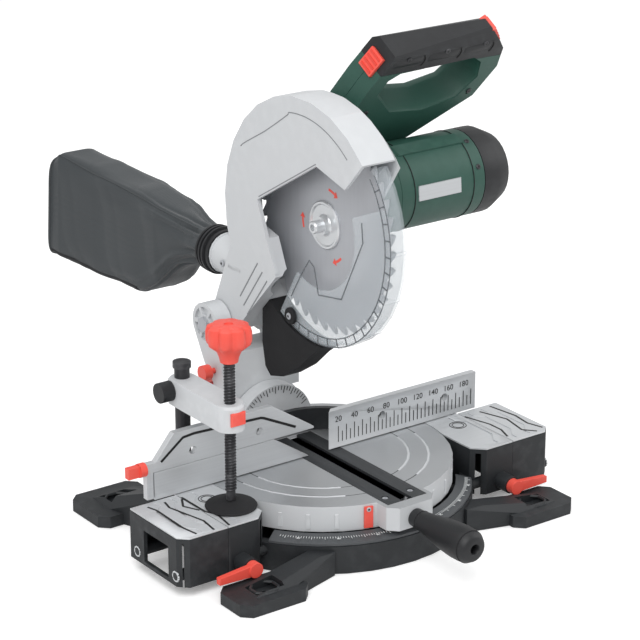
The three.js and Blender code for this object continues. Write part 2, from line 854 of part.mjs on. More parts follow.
// Making the turntable
function turntable() {
  const top = tableHeight;
  const low = top - tableSkirt;
  const disc = solidOf(turned([
    [0, top], [tableRadius, top], [tableRadius, low], [tableRadius - tableSkirtWall, low],
    [tableRadius - tableSkirtWall, top - tablePlate], [0, top - tablePlate],
  ], 40));
  const boss = rod('z', pivotBossRadius, pivotBossTop + seatGap, top - tablePlate + seatGap, middle);
  const arm = prismZ([[-armHalfWidth, -tableRadius + tableSkirt], [-armHalfWidth, -armFront + footCorner],
    [-armHalfWidth + footCorner, -armFront], [armHalfWidth - footCorner, -armFront],
    [armHalfWidth, -armFront + footCorner], [armHalfWidth, -tableRadius + tableSkirt]], top - armDrop, top);
  const under = top - tablePlate + seatGap;
  const well = block([-kerfSlot, kerfSlot], [-armFront + footCorner, kerfBack + castingWall],
    [top - slotDepth - castingWall, under]);
  const neck = block([-hubNeckHalfWidth, hubNeckHalfWidth], [kerfBack, hubStart - seatGap], [low, under]);
  const cuts = [
    block([-kerfHalfWidth - seatGap, kerfHalfWidth + seatGap], [-kerfFront - seatGap, kerfBack + seatGap],
      [top - kerfPlate - seatGap, top + overrun]),
    block([-kerfSlot / 2, kerfSlot / 2], [-kerfFront, kerfBack], [top - slotDepth, top + overrun]),
    block([-hubClearance, hubClearance], [hubStart - seatGap, ringRadius], [low - overrun, top + overrun]),
    rod('z', pivotBoltRadius + seatGap, pivotBossTop - overrun, pivotBoltTop + overrun, middle, 16),
    ...kerfScrews.map(spot =>
      rod('z', kerfScrewRadius / 2 + seatGap, top - slotDepth + overrun, top, spot, 10)),
  ];
  return carve(join(disc, boss, arm, well, neck), ...tableArcs(), ...cuts);
}

// The curved grooves of the turntable's top.
function tableArcs() {
  const arcs = [];
  for (const radius of [arcInnerRadius, arcOuterRadius]) {
    for (const [from, to] of [[-arcTo, -arcFrom], [fullTurn / 2 + arcFrom, fullTurn / 2 + arcTo]]) {
      const line = [];
      for (let i = 0; i <= arcSteps; i++) {
        const angle = radians(from + (to - from) * i / arcSteps);
        line.push([radius * Math.cos(angle), radius * Math.sin(angle)]);
      }
      arcs.push(prismZ(band(line, grooveWidth), tableHeight - grooveDepth, tableHeight + overrun));
    }
  }
  return arcs;
}

function kerfPlateAt(side) {
  const span = spanOn(side, kerfSlot / 2 - seatGap, kerfHalfWidth);
  const plate = block(span, [-kerfFront, kerfBack], [tableHeight - kerfPlate, tableHeight]);
  const hole = spot => rod('z', kerfScrewRadius + seatGap, tableHeight - 2 * kerfPlate, tableHeight + overrun,
    spot, 16);
  const holes = kerfScrews.filter(([x]) => Math.sign(x) === side).map(hole);
  return carve(plate, ...holes);
}

function mitrePointer() {
  const back = -tableRadius - seatGap;
  return block([-pointerWidth / 2, pointerWidth / 2], [back - pointerThickness, back],
    [tableHeight - tableSkirt + overrun, tableHeight - pointerDrop]);
}

function gripSolid() {
  const face = gripLength * gripFaceShare;
  const profile = [
    [0, 0], [gripRootRadius, 0], [gripRootRadius, gripLength * gripRootShare],
    ...gripShares.map(([r, along]) => [gripRadius * r, gripLength * along]),
    [gripRecess, gripLength], [gripRecess, face], [0, face],
  ];
  return solidOf(turned(profile, 20).rotateX(Math.PI / 2));
}

// Making the bevel joint
function bevelHub() {
  const hub = rod('y', hubRadius, hubStart, hubEnd, bevelAxis, 36);
  return carve(hub, rod('y', bevelBoltRadius + seatGap, hubStart - overrun, hubEnd + overrun, bevelAxis, 20));
}

function bevelBracket() {
  const disc = rod('y', bracketRadius, bracketStart, bracketEnd, bevelAxis, 36);
  const point = ([u, v]) => [
    bracketStart + u * (hingeY - bracketStart), tableHeight + v * (hingeZ - tableHeight)];
  const tower = prismX([...towerFrontShares.map(point), ...arc(hinge, earRadius, earFrom, earTo, 9),
    ...towerBackShares.map(point)], bracketLeft, bracketRight);
  const half = bracketRadius * towerFootWidthShare;
  const base = prismX(towerFootShares.map(point), -half, half);
  const cuts = [
    block([earGapLeft, earGapRight], [bracketStart - overrun, hingeY + 2 * earRadius],
      [webTop, hingeZ + 2 * earRadius]),
    rod('x', lugRadius + overrun, earGapLeft, earGapRight, hinge, 20),
    rod('x', pinRadius + seatGap, bracketLeft - overrun, bracketRight + overrun, hinge, 20),
    rod('x', travelPinRadius + seatGap, bracketLeft - overrun,
      bracketLeft + travelPinLength + travelPinPush + overrun, travelSpot, 12),
    rod('y', bevelBoltRadius + seatGap, bracketStart - overrun, bracketEnd + overrun, bevelAxis, 20),
  ];
  for (let i = 0; i < hubSpokes; i++) {
    const from = fullTurn * i / hubSpokes + hubSpokeGap;
    const to = fullTurn * (i + 1) / hubSpokes - hubSpokeGap;
    cuts.push(prismX([...arc(hinge, earRadius - hubRingWall, from, to, 2),
      ...arc(hinge, pinRadius + hubRingWall, from, to, 1).reverse()],
    bracketLeft - overrun, bracketLeft + hubRingDepth));
  }
  return carve(join(disc, tower, base), ...cuts);
}

function hingePin() {
  return join(
    rod('x', pinRadius, bracketLeft - pinHead, bracketRight + pinHead, hinge, 20),
    rod('x', pinRadius + overrun, bracketLeft - pinHead - seatGap, bracketLeft - seatGap, hinge, 6),
    rod('x', pinRadius + overrun, bracketRight + seatGap, bracketRight + pinHead + seatGap, hinge, 6));
}

// One unbroken wire: a straight leg, the curls round the pin, and a second leg.
function torsionSpring() {
  const points = [];
  const curlStart = earGapLeft + springOffset;
  points.push([curlStart, springRadius, -springLeg]);
  points.push([curlStart, springRadius, -springLeg / 2]);
  const steps = springCurlSteps * springCurls;
  for (let i = 0; i <= steps; i++) {
    const angle = tau * i / springCurlSteps;
    const x = curlStart + springPitch * i / springCurlSteps;
    points.push([x, springRadius * Math.cos(angle), springRadius * Math.sin(angle)]);
  }
  const end = curlStart + springPitch * steps / springCurlSteps;
  points.push([end, -springRadius, springLegUp]);
  const line = points.map(([x, y, z]) => new THREE.Vector3(x, hingeY - y, hingeZ + z));
  report('torsion spring', leastGap(line, springCurlSteps / 2) - springWire);
  return sweep(line, springWire / 2, springSides);
}

// Least distance between points of a line that lie more than a few steps apart.
function leastGap(line, skip) {
  let least = Infinity;
  line.forEach((a, i) => line.forEach((b, j) => {
    if (j - i > skip) least = Math.min(least, a.distanceTo(b));
  }));
  return least;
}

const report = (name, gap) => console.log(`${name}: least gap to itself ${gap.toFixed(2)} mm`);

// A closed tube through the points, its section carried along without twist.
function sweep(line, radius, sides) {
  const places = [];
  const corners = [];
  let normal = new THREE.Vector3(1, 0, 0);
  line.forEach((point, i) => {
    const along = line[Math.min(i + 1, line.length - 1)].clone().sub(line[Math.max(i - 1, 0)]).normalize();
    normal = normal.clone().sub(along.clone().multiplyScalar(normal.dot(along))).normalize();
    const other = along.clone().cross(normal);
    for (let k = 0; k < sides; k++) {
      const angle = tau * k / sides;
      const corner = point.clone().addScaledVector(normal, radius * Math.cos(angle));
      corner.addScaledVector(other, radius * Math.sin(angle));
      places.push(corner.x, corner.y, corner.z);
    }
  });
  for (let i = 0; i + 1 < line.length; i++) {
    for (let k = 0; k < sides; k++) {
      const [a, b] = [i * sides + k, i * sides + (k + 1) % sides];
      corners.push(a, b, b + sides, a, b + sides, a + sides);
    }
  }
  const last = (line.length - 1) * sides;
  for (let k = 1; k + 1 < sides; k++) {
    corners.push(0, k + 1, k, last, last + k, last + k + 1);
  }
  const geometry = new THREE.BufferGeometry();
  geometry.setAttribute('position', new THREE.Float32BufferAttribute(places, 3));
  geometry.setIndex(corners);
  return solidOf(geometry);
}

function bevelLever() {
  const y0 = bracketEnd + seatGap;
  const y1 = y0 + bevelLeverHub;
  const grip0 = y1 - bevelLeverThickness;
  const arm = band(leverShares.map(([u, v]) => [u * bevelLeverReach, v * bevelLeverRise]), bevelLeverWidth);
  return join(
    rod('y', bevelLeverHubRadius, y0, y1, bevelAxis, 24),
    rod('y', bevelBoltRadius, hubStart + seatGap, y0 + overrun, bevelAxis, 20),
    prismY(arm.map(([x, z]) => [x, z + tableHeight]), grip0, y1));
}

function travelPin() {
  const start = bracketLeft - travelPinPush;
  return join(
    rod('x', travelPinRadius, start - overrun, bracketLeft + travelPinLength, travelSpot, 12),
    rod('x', travelKnobRadius, start - travelKnobLength, start, travelSpot, 20));
}

// Making the head
const bladePoint = ([y, z]) => [bladeY + y * guardRadius, bladeZ + z * guardRadius];

// A round room about the blade, which narrows to the right of the blade's edge.
function hoodRound(radius, left, right) {
  const narrow = radius - hoodSlope * (right - hoodTurn);
  const profile = [[0, left], [radius, left], [radius, hoodTurn], [narrow, right], [0, right]];
  return solidOf(turned(profile, 40).rotateY(Math.PI / 2).translate(0, ...bladeCentre));
}

function headCasting() {
  const rim = [...arc(bladeCentre, guardRadius, guardStart, guardEnd, 12),
    ...arc(bladeCentre, guardRadius - guardWall, guardStart, guardEnd, 12).reverse()];
  const outer = arc(bladeCentre, guardRadius, guardStart, guardEnd, 12);
  const left = prismX([...outer, ...windowShares.map(bladePoint)], guardLeft, guardLeft + guardWall);
  const right = prismX([...outer, ...rightWallShares.map(bladePoint)], guardRight - guardWall, guardRight);
    const armLine = [bladePoint(armShares[0]), bladePoint(windowShares[1]), ...headArmShares.map(bladePoint),
    ...arc(hinge, lugRadius, lugFrom, lugTo, 7), bladePoint(armShares[1])];
  const arm = prismX(armLine, guardLeft, guardRight);
  const bossRing = rod('x', bossRadius, lowerRight + seatGap, guardRight, bladeCentre, 24);
  const lipRing = rod('x', bossLip, lowerRight - lowerWall - seatGap, guardRight, bladeCentre, 24);
  const bossRoom = rod('x', bossBore, 0, guardRight - guardWall, bladeCentre, 24);
  const portFront = bladeY + portFrom * guardRadius;
  const solid = join(
    prismX(rim, guardLeft, guardRight), left, right, arm,
    rod('x', lugRadius, earGapLeft + runGap, earGapRight - runGap, hinge, 20), bossRing, lipRing,
    rod('y', portRadius + portWall, portFront, portStart - seatGap, port, 20));
  const throat = hoodRound(bladeSpace, bladeSpaceLeft, guardRight - guardWall);
  const edge = join(hoodRound(guardRadius + seatGap, guardLeft - overrun, guardRight + overrun),
    prismX(armLine, guardLeft, guardRight), rod('y', 2 * portRadius, portFront, portStart, port, 8),
    rod('x', 2 * lugRadius, guardLeft, guardRight, hinge, 8));
  const boss = join(carve(bossRing, bossRoom), carve(lipRing, bossRoom));
  const curlStart = earGapLeft + springOffset;
  const springSpace = [curlStart - springWire, curlStart + springPitch * springCurls + springWire];
  return carve(join(carve(solid.intersect(edge), throat), boss),
    rod('x', lugRadius + overrun, ...springSpace, hinge, 20),
    rod('x', pinRadius + seatGap, bracketLeft, bracketRight, hinge, 20),
    rod('x', arborBore, guardLeft - overrun, guardRight + overrun, bladeCentre, 24),
    rod('x', bearingRadius + seatGap, guardRight - guardWall - overrun, guardRight + overrun,
      bladeCentre, 24),
    rod('y', portRadius - portWall, bladeY, portStart + overrun, port, 20),
    rod('y', portRadius + seatGap, portStart - portSeat, portStart + portLength, port, 20));
}

// Making the blade and its drive
function bladeSolid() {
  const points = [];
  const root = bladeRadius - bladeTooth;
  for (let i = 0; i < bladeTeeth; i++) {
    const at = share => radians(fullTurn * (i + share) / bladeTeeth);
    const corner = (r, share) => points.push([r * Math.cos(at(share)), r * Math.sin(at(share))]);
    corner(bladeRadius, 0);
    corner(bladeRadius - bladeTooth * toothShares[1], toothShares[1]);
    gulletShares.forEach(share => corner(root, share));
  }
  const disc = prismX(points, -bladeThickness / 2, bladeThickness / 2);
  return carve(disc, rod('x', bladeBore, -overrun, overrun, middle, 32));
}

const flangeFace = bladeThickness / 2 + seatGap;

function outerFlange() {
  const step = -flangeFace - flangeThickness;
  return carve(join(
    rod('x', flangeRadius, step, -flangeFace, middle, 24),
    rod('x', flangeHub, step - flangeHubLength, step, middle, 24)),
  rod('x', boltShank + seatGap, -2 * flangeRadius, 0, middle, 16));
}

const flangeEnd = -bladeThickness / 2 - seatGap - flangeThickness - flangeHubLength;

function bladeBolt() {
  const seat = flangeEnd - seatGap;
  const head = rod('x', boltHeadRadius, seat - boltHeadLength, seat, middle, 24);
  const shank = rod('x', boltShank, seat - overrun, boltShankEnd, middle, 16);
  const socketStart = flangeEnd - boltHeadLength - overrun;
  return carve(join(head, shank),
    rod('x', boltSocket, socketStart, flangeEnd - boltHeadLength / 2, middle, 6));
}

// A gear's outline, with a tooth centred on the given turn.
function gearOutline(teeth, turn) {
  const pitch = gearModule * teeth / 2;
  const tip = pitch + gearModule * gearTipShare;
  const root = pitch - gearModule * gearRootShare;
  const points = [];
  for (let i = 0; i < teeth; i++) {
    const at = share => tau * (i + share) / teeth + turn;
    const corner = (r, share) => points.push([r * Math.cos(at(share)), r * Math.sin(at(share))]);
    corner(root, -gearToothShares[1]);
    corner(tip, -gearToothShares[0]);
    corner(tip, gearToothShares[0]);
    corner(root, gearToothShares[1]);
  }
  return points;
}

const meshTurn = Math.atan2(motorZ - bladeZ, motorY - bladeY);

function arborSolid() {
  const shaft = rod('x', arborRadius, -arborNose, arborEnd, middle, 16);
  const gear = prismX(gearOutline(gearTeeth, meshTurn), gearStart, gearStart + gearWidth);
  const shoulder = join(
    rod('x', flangeRadius, flangeFace, flangeFace + flangeThickness, middle, 16),
    rod('x', bladeBore - seatGap, -flangeFace + 2 * seatGap, flangeFace, middle, 16));
  return carve(join(shaft, gear, shoulder),
    rod('x', boltShank + seatGap, -arborNose - overrun, boltShankEnd + overrun, middle, 10));
}

function armatureSolid() {
  const end = motorEnd + bearingInset;
  const pinion = prismX(gearOutline(pinionTeeth, meshTurn + Math.PI + Math.PI / pinionTeeth),
    gearStart, gearStart + gearWidth);
  const coreEnd = coreStart + coreLength;
  const blades = [];
  for (let i = 0; i < fanBlades; i++) {
    const angle = tau * i / fanBlades;
    const [c, s] = [Math.cos(angle), Math.sin(angle)];
    const near = coreRadius * fanRootShare;
    const w = fanBladeWidth / 2;
    blades.push(prismX([[near * c - w * s, near * s + w * c], [near * c + w * s, near * s - w * c],
      [fanRadius * c + w * s, fanRadius * s - w * c], [fanRadius * c - w * s, fanRadius * s + w * c]],
    fanStart, fanStart + fanWidth));
  }
  return join(
    rod('x', shaftRadius, guardRight + seatGap, end, middle, 12), pinion,
    rod('x', coreRadius, coreStart, coreEnd, middle, 18),
    rod('x', commutatorRadius, coreEnd + commutatorRadius, coreEnd + commutatorRadius + commutatorLength,
      middle, 16),
    rod('x', coreRadius * fanHubShare, fanStart, fanStart + fanWidth, middle, 12), ...blades);
}

const arborBearing = () =>
  ringX(bearingRadius, arborRadius + seatGap, guardRight - bearingWidth, guardRight, bladeCentre, 20);

const shaftBearing = () => ringX(bearingRadius - gearboxWall, shaftRadius + seatGap,
  motorEnd + bearingInset - bearingWidth, motorEnd + bearingInset, motorCentre, 20);

// Lower guard, about the blade's centre
function lowerGuard() {
  const end = guardStart - lowerSweep;
  const sector = (outer, inner, from, to, left, right, steps) => prismX(
    [...arc([0, 0], outer, from, to, steps), ...arc([0, 0], inner, from, to, steps).reverse()], left, right);
  const inner = lowerRight - lowerWall;
  const rim = sector(lowerRadius, lowerRadius - lowerWall, end, guardStart, lowerLeft, lowerRight, 15);
  const far = sector(lowerRadius, lowerRing - overrun, end, guardStart, inner, lowerRight, 15);
  const ring = ringX(lowerRing, bossLip + seatGap, inner, lowerRight, middle, 24);
  const near = sector(lowerRadius, lowerOpening, end, guardStart - lowerSweep * guardNearShare,
    lowerLeft, lowerLeft + lowerWall, 13);
  const ribs = guardRibShares.map(share => {
    const at = guardStart - lowerSweep * share;
    return sector(lowerRadius + lowerWall * guardRibRiseShare, lowerRadius - lowerWall / 2,
      at - guardRibTurn, at + guardRibTurn, lowerLeft, lowerRight, 1);
  });
  return join(rim, far, ring, near, ...ribs);
}

// Making the motor
function gearHousing() {
  const body = join(
    rod('x', motorRadius, guardRight + seatGap, gearboxEnd, motorCentre, 32),
    rod('x', gearboxNose, guardRight + seatGap, gearboxEnd - gearboxWall, bladeCentre, 24));
  const hollow = join(
    rod('x', motorRadius - gearboxWall, guardRight - overrun, gearboxEnd - 2 * gearboxWall, motorCentre, 32),
    rod('x', gearboxNose - gearboxWall, guardRight - overrun, gearboxEnd - 2 * gearboxWall, bladeCentre, 24));
  const gearbox = gearboxEnd - gearboxWall - bearingWidth;
  const boss = rod('x', arborRadius + gearboxWall, gearbox, gearboxEnd - gearboxWall, bladeCentre, 20);
  const shaftBoss = rod('x', shaftRadius + gearboxWall, gearbox, gearboxEnd - gearboxWall, motorCentre, 20);
  return carve(join(carve(body, hollow), boss, shaftBoss),
    rod('x', arborRadius + seatGap, gearbox - overrun, arborEnd + seatGap, bladeCentre, 24),
    rod('x', shaftRadius + seatGap, gearbox - overrun, gearboxEnd + overrun, motorCentre, 20),
    lockPinHole());
}

const lockPinSpot = [(guardRight + gearboxEnd) / 2, motorY - motorRadius * Math.cos(radians(lockPinTurn)),
  motorZ + motorRadius * Math.sin(radians(lockPinTurn))];

function lockPinHole() {
  const radius = lockPinRadius + seatGap;
  const hole = new THREE.CylinderGeometry(radius, radius, 4 * gearboxWall, 20);
  return solidOf(hole.rotateX(radians(-lockPinTurn)).translate(...lockPinSpot));
}

function motorHousing() {
  return ringX(motorRadius, motorRadius - motorWall, gearboxEnd + seatGap, motorEnd, motorCentre, 32);
}

function statorSolid() {
  const outer = motorRadius - motorWall - seatGap;
  return ringX(outer, outer - statorWall, coreStart, coreStart + coreLength, motorCentre, 32);
}

function motorCap() {
  const start = motorEnd + seatGap;
  const face = motorRadius * capFaceShare;
  const slope = capEnd - motorRadius * capSlopeShare;
  const inside = capEnd - capWall;
  const profile = [
    [0, capEnd], [face, capEnd], [motorRadius, slope], [motorRadius, start], [motorRadius - capWall, start],
    [motorRadius - capWall, slope], [face - capWall, inside], [0, inside],
  ];
  const cup = solidOf(turned(profile, 32).rotateY(Math.PI / 2).translate(0, ...motorCentre));
  const bearingEnd = motorEnd + bearingInset;
  const seat = carve(
    rod('x', bearingRadius, bearingEnd - bearingWidth, inside + seatGap, motorCentre, 24),
    rod('x', bearingRadius - gearboxWall + seatGap, start, bearingEnd + seatGap, motorCentre, 24));
  const glandX = motorEnd + glandRadius + capWall;
  const back = motorY + motorRadius;
  const gland = rod('y', glandRadius, back - capWall, back + glandLength, [glandX, motorZ], 20);
  const vents = [];
  const through = [inside - overrun, capEnd + overrun];
  const [near, far] = [bearingRadius + overrun, motorRadius * ventReachShare];
  for (let i = 0; i < capVents; i++) {
    const z = motorZ + (i - (capVents - 1) / 2) * ventWidth * 2;
    const height = [z - ventWidth / 2, z + ventWidth / 2];
    vents.push(block(through, [motorY - far, motorY - near], height));
    vents.push(block(through, [motorY + near, motorY + far], height));
  }
  return carve(join(cup, seat, gland), ...vents,
    rod('y', glandRadius / 2, back - 2 * capWall, back + glandLength + overrun, [glandX, motorZ], 16));
}

// Handle, in its own frame: X to the right, Y up its lean, Z out to the front
const handleTurn = radians(90 + handleLean);
const handleToSaw = new THREE.Matrix4().makeRotationX(handleTurn).setPosition(0, handleY, handleZ);
const sawToHandle = handleToSaw.clone().invert();
const inHandle = shape => solidOf(shape.applyMatrix4(sawToHandle));

const handlePoints = (shares, inset) => shares.map(([u, v]) => [
  handleLeft + inset + u * (handleWidth - 2 * inset), handleFoot + v * (handleTall - inset)]);

// The handle's whole form, its top edges slanted off, drawn in by an inset.
function handleForm(inset) {
  const thick = handleThickness;
  const form = prismZ(handlePoints(handleShares, inset), inset - thick, -inset);
  const crown = handleFoot + handleTall - inset * crownInset;
  const low = handleFoot - overrun;
  const section = [[low, overrun], [crown - crownFront, overrun], [crown, -crownFront],
    [crown, crownBack - thick], [crown - crownBack, -thick], [low, -thick]];
  return form.intersect(prismX(section, handleLeft - overrun, handleLeft + handleWidth + overrun));
}

function handlePieces() {
  const thick = handleThickness;
  const top = handleFoot + handleTall + overrun;
  const far = handleLeft + handleWidth + overrun;
  const above = low => block([handleLeft - overrun, far], [low, top], [-thick - overrun, overrun]);
  const full = handleForm(0);
  const core = handleForm(coverWall);
  const coreRoom = handleForm(coverWall - seatGap);
  const opening = prismZ(handlePoints(openingShares, 0), -thick - overrun, overrun);
  const cuts = [
    opening,
    inHandle(rodShape('x', motorRadius + seatGap, 0, capEnd + overrun, motorCentre, 32)),
    inHandle(rodShape('x', guardRadius + runGap, 0, guardRight + runGap, bladeCentre, 64)),
    ...[-1, 1].map(buttonRoom),
  ];
  const body = join(carve(full, above(coverFoot - seatGap)), core.intersect(above(coverFoot - 2 * seatGap)));
  const pocket = block([triggerX - triggerWidth / 2 - seatGap, triggerX + triggerWidth / 2 + seatGap],
    [triggerY - triggerHeight, triggerY + triggerHeight / 2 + triggerTravel + runGap],
    [-thick / 2 - triggerThickness / 2 - seatGap, -thick / 2 + triggerThickness / 2 + seatGap]);
  const shells = carve(body, ...cuts, pocket);
  const half = (low, high) => block([handleLeft - overrun, far], [handleFoot - overrun, top], [low, high]);
  const screwCuts = handleScrews.map(spot =>
    rod('z', motorScrewRadius / 2 + seatGap, -coverWall - 4 * motorScrewRadius, overrun, spot, 10));
  return {
    front: carve(shells.intersect(half(-thick / 2 + seatGap / 2, overrun)), ...screwCuts),
    rear: shells.intersect(half(-thick - overrun, -thick / 2 - seatGap / 2)),
    cover: carve(full.intersect(above(coverFoot)), coreRoom, ...cuts),
  };
}

function trigger() {
  const outline = triggerShares.map(([u, v]) => [u * triggerWidth / 2, v * triggerHeight / 2]);
  return prismZ(outline, -triggerThickness / 2, triggerThickness / 2);
}

const chamferAt = side => {
  const points = handlePoints(handleShares, 0);
  const [a, b] = side < 0 ? points.slice(1, 3) : points.slice(3, 5);
  const spot = [(a[0] + b[0]) / 2, (a[1] + b[1]) / 2];
  return { spot, lean: Math.atan2(b[1] - a[1], b[0] - a[0]) };
};

function buttonRoom(side) {
  const { spot, lean } = chamferAt(side);
  const room = new THREE.BoxGeometry(buttonLength + 2 * seatGap, 2 * (buttonHeight + buttonTravel),
    buttonWidth + 2 * seatGap);
  return solidOf(room.rotateZ(lean).translate(...spot, -handleThickness / 2));
}

function buttonSolid() {
  const sink = buttonHeight * buttonSinkShare;
  return block([-buttonLength / 2, buttonLength / 2], [-sink, buttonHeight - sink],
    [-buttonWidth / 2, buttonWidth / 2]);
}

// Deflector, port and bag
function chipDeflector() {
  const half = deflectorWidth / 2;
  const body = prismX(deflectorShares.map(bladePoint), portX / 2 - half, portX / 2 + half);
  const [a, b] = [bladePoint(armShares[0]), bladePoint(armShares[1])];
  const length = Math.hypot(b[0] - a[0], b[1] - a[1]);
  const down = [(b[1] - a[1]) / length * seatGap, -(b[0] - a[0]) / length * seatGap];
  const [c, d] = [a, b].map(([y, z]) => [y + down[0], z + down[1]]);
  const [far, top] = [d[0] + guardRadius, c[1] + guardRadius];
  const armRoom = prismX([d, [far, d[1]], [far, top], [c[0], top], c], guardLeft, guardRight);
  return carve(body, armRoom, rod('x', lowerRadius + overrun, guardLeft, guardRight, bladeCentre, 48));
}

function dustPort() {
  const start = portStart - portSeat;
  const end = portStart + portLength;
  return carve(
    join(rod('y', portRadius, start, end, port, 20),
      rod('y', portRadius + portWall / 2, end - portWall, end, port, 20)),
    rod('y', portRadius - portWall, start - overrun, end + overrun, port, 20));
}

function bagCollar() {
  const start = portStart + portLength + seatGap;
  const rings = [];
  for (let i = 0; i < collarRings; i++) {
    const y = start + i * collarLength / collarRings;
    rings.push(rod('y', collarRadius, y, y + collarLength / collarRings * collarRingShare, port, 20));
  }
  return carve(join(rod('y', collarRadius - portWall / 2, start, start + collarLength, port, 20), ...rings),
    rod('y', portRadius - portWall, start - overrun, start + collarLength + overrun, port, 20));
}

function dustBag() {
  const start = portStart + portLength + 2 * seatGap + collarLength;
  const points = [];
  const rings = bagShares.map(([y, half, low, high]) => ({
    y: start + y * bagLength,
    x: portX - y * y * bagDrift,
    half: half * bagWidth / 2,
    low: bagFloor + low * bagHeight,
    high: bagFloor + high * bagHeight,
  }));
  for (const { y, x, half, low, high } of rings) {
    const r = half * bagCornerShare;
    const [left, right] = [x - half, x + half];
    points.push([[left + r, low], [right - r, low], [right, low + r], [right, high - r], [right - r, high],
      [left + r, high], [left, high - r], [left, low + r]].map(([u, v]) => new THREE.Vector3(u, y, v)));
  }
  const places = points.flat().flatMap(p => [p.x, p.y, p.z]);
  const n = 8;
  const corners = [];
  for (let i = 0; i + 1 < points.length; i++) {
    for (let k = 0; k < n; k++) {
      const [a, b] = [i * n + k, i * n + (k + 1) % n];
      corners.push(a, b, b + n, a, b + n, a + n);
    }
  }
  const last = (points.length - 1) * n;
  for (let k = 1; k + 1 < n; k++) corners.push(0, k + 1, k, last, last + k, last + k + 1);
  const geometry = new THREE.BufferGeometry();
  geometry.setAttribute('position', new THREE.Float32BufferAttribute(places, 3));
  geometry.setIndex(corners);
  return solidOf(geometry);
}

// Making the work clamp
function clampArm() {
  const z0 = tableHeight + armLift;
  const bar = block([clampX - armWidth / 2, clampX + armWidth / 2], [clampSpindleY, clampPostY],
    [z0, z0 + armHeight]);
  const [low, high] = [tableHeight + nutBottom, tableHeight + nutTop];
  const through = [tableHeight, tableHeight + 2 * postHeight];
  return carve(join(bar, rod('z', nutRadius, low, high, spindleSpot, 16),
    rod('z', nutRadius, low - overrun, high + overrun, postSpot, 16)),
  rod('z', postRadius + seatGap, ...through, postSpot, 16),
  rod('z', spindleRadius + seatGap, ...through, spindleSpot, 16),
  rod('x', heightStem + seatGap, clampX - 2 * nutRadius, clampX - postRadius, heightKnobSpot, 12));
}

function clampPost() {
  const z = tableHeight + postHeight;
  return join(rod('z', postRadius, postFoot + seatGap, z, postSpot, 16),
    rod('z', postCapRadius, z - postCapHeight / 2, z + postCapHeight / 2, postSpot, 16));
}

function heightKnob() {
  const x1 = clampX - postRadius - 2 * seatGap;
  const x0 = clampX - nutRadius - overrun;
  return join(rod('x', heightStem, x0 - overrun, x1, heightKnobSpot, 12),
    rod('x', heightKnobRadius, x0 - heightKnobLength, x0, heightKnobSpot, 20));
}

function clampPad() {
  const low = tableHeight + seatGap;
  return carve(join(rod('z', padRadius, low, low + padHeight, spindleSpot, 24),
    rod('z', padCup, low + padHeight - seatGap, low + padHeight + padCupHeight, spindleSpot, 20)),
  rod('z', spindleRadius + seatGap, low + padHeight, low + 3 * padHeight + padCupHeight, spindleSpot, 20));
}

function clampSpindle() {
  const low = tableHeight + seatGap + padHeight + seatGap;
  const top = tableHeight + spindleTop;
  const points = [];
  for (let i = 0; i < knobLobes * 4; i++) {
    const angle = tau * i / (knobLobes * 4);
    const r = knobRadius * (1 - lobeShare / 2 + lobeShare / 2 * Math.cos(angle * knobLobes));
    points.push([clampX + r * Math.cos(angle), clampSpindleY + r * Math.sin(angle)]);
  }
  return join(rod('z', spindleRadius, low, top + overrun, spindleSpot, 16),
    rod('z', knobNeck, top, top + knobHeight * knobNeckShare, spindleSpot, 16),
    prismZ(points, top + knobHeight * knobFootShare, top + knobHeight));
}

// The saw
const saw = new THREE.Group();
spots.set(saw, [0, 0, 0]);

function addBase() {
  fit(saw, 'base_casting', baseCasting(), baseBlack);
  fit(saw, 'mitre_scale', scaleRing(), greyScale);
  fit(saw, 'wing_plate_left', wingPlateAt(-1), brushed);
  fit(saw, 'wing_plate_right', wingPlateAt(1), brushed);
  fit(saw, 'fence_carrier', fenceCarrier(), baseBlack);
  fit(saw, 'fence_right', rightFence(), brushed);
  fit(saw, 'fence_left', leftFence(), brushed);
  fit(saw, 'fence_screw_left', fenceScrew(-1), darkSteel);
  fit(saw, 'fence_screw_right', fenceScrew(1), darkSteel);
  fit(saw, 'pivot_bolt', pivotBolt(), steel);
}

const fenceScrew = side => screwAt(fenceScrewRadius, fenceScrewHeight, fenceScrewShank,
  carrierFootThickness + 2 * castingWall,
  [side * fenceFootX, fenceFootY, tableHeight + carrierFootThickness + seatGap]);

function screwAt(headRadius, headHeight, shankRadius, shankLength, [x, y, z]) {
  const body = solidOf(turned([
    [0, headHeight], [headRadius * screwFaceShare, headHeight], [headRadius, headHeight * screwEdgeShare],
    [headRadius, 0], [shankRadius, 0], [shankRadius, -shankLength], [0, -shankLength],
  ], 10).translate(x, y, z));
  const socket = rod('z', headRadius * screwSocketShare, z + headHeight / 2, z + headHeight + overrun,
    [x, y], 6);
  return carve(body, socket);
}

function pivotBolt() {
  return join(rod('z', pivotHeadRadius, ground, ground + pivotHeadHeight, middle, 6),
    rod('z', pivotBoltRadius, ground, pivotBoltTop, middle, 20));
}

function addSides() {
  for (const [side, word] of [[-1, 'left'], [1, 'right']]) {
    const table = frameAt(saw, [side * wingSeam, 0, tableHeight]);
    fit(table, `extension_${word}`, extension(side), baseBlack);
    fit(table, `extension_top_${word}`, extensionTop(side), brushed);
    const lock = frameAt(saw, [side * lockX, -wingFront - lockBossLength - seatGap, lockZ]);
    place(lock, `extension_lock_${word}`, lockLever(side), red, spots.get(lock));
  }
  const slide = frameAt(saw, [-slideTopX, 0, tableHeight + leftFenceHeight]);
  fit(slide, 'fence_slide', fenceSlide(), brushed);
  const lever = frameAt(slide, [-slideOuterX - endBracketLength - seatGap, fenceThickness / 2,
    tableHeight + leftFenceHeight + slideFoot / 2]);
  place(lever, 'fence_lever', fenceLever(), red, spots.get(lever));
}

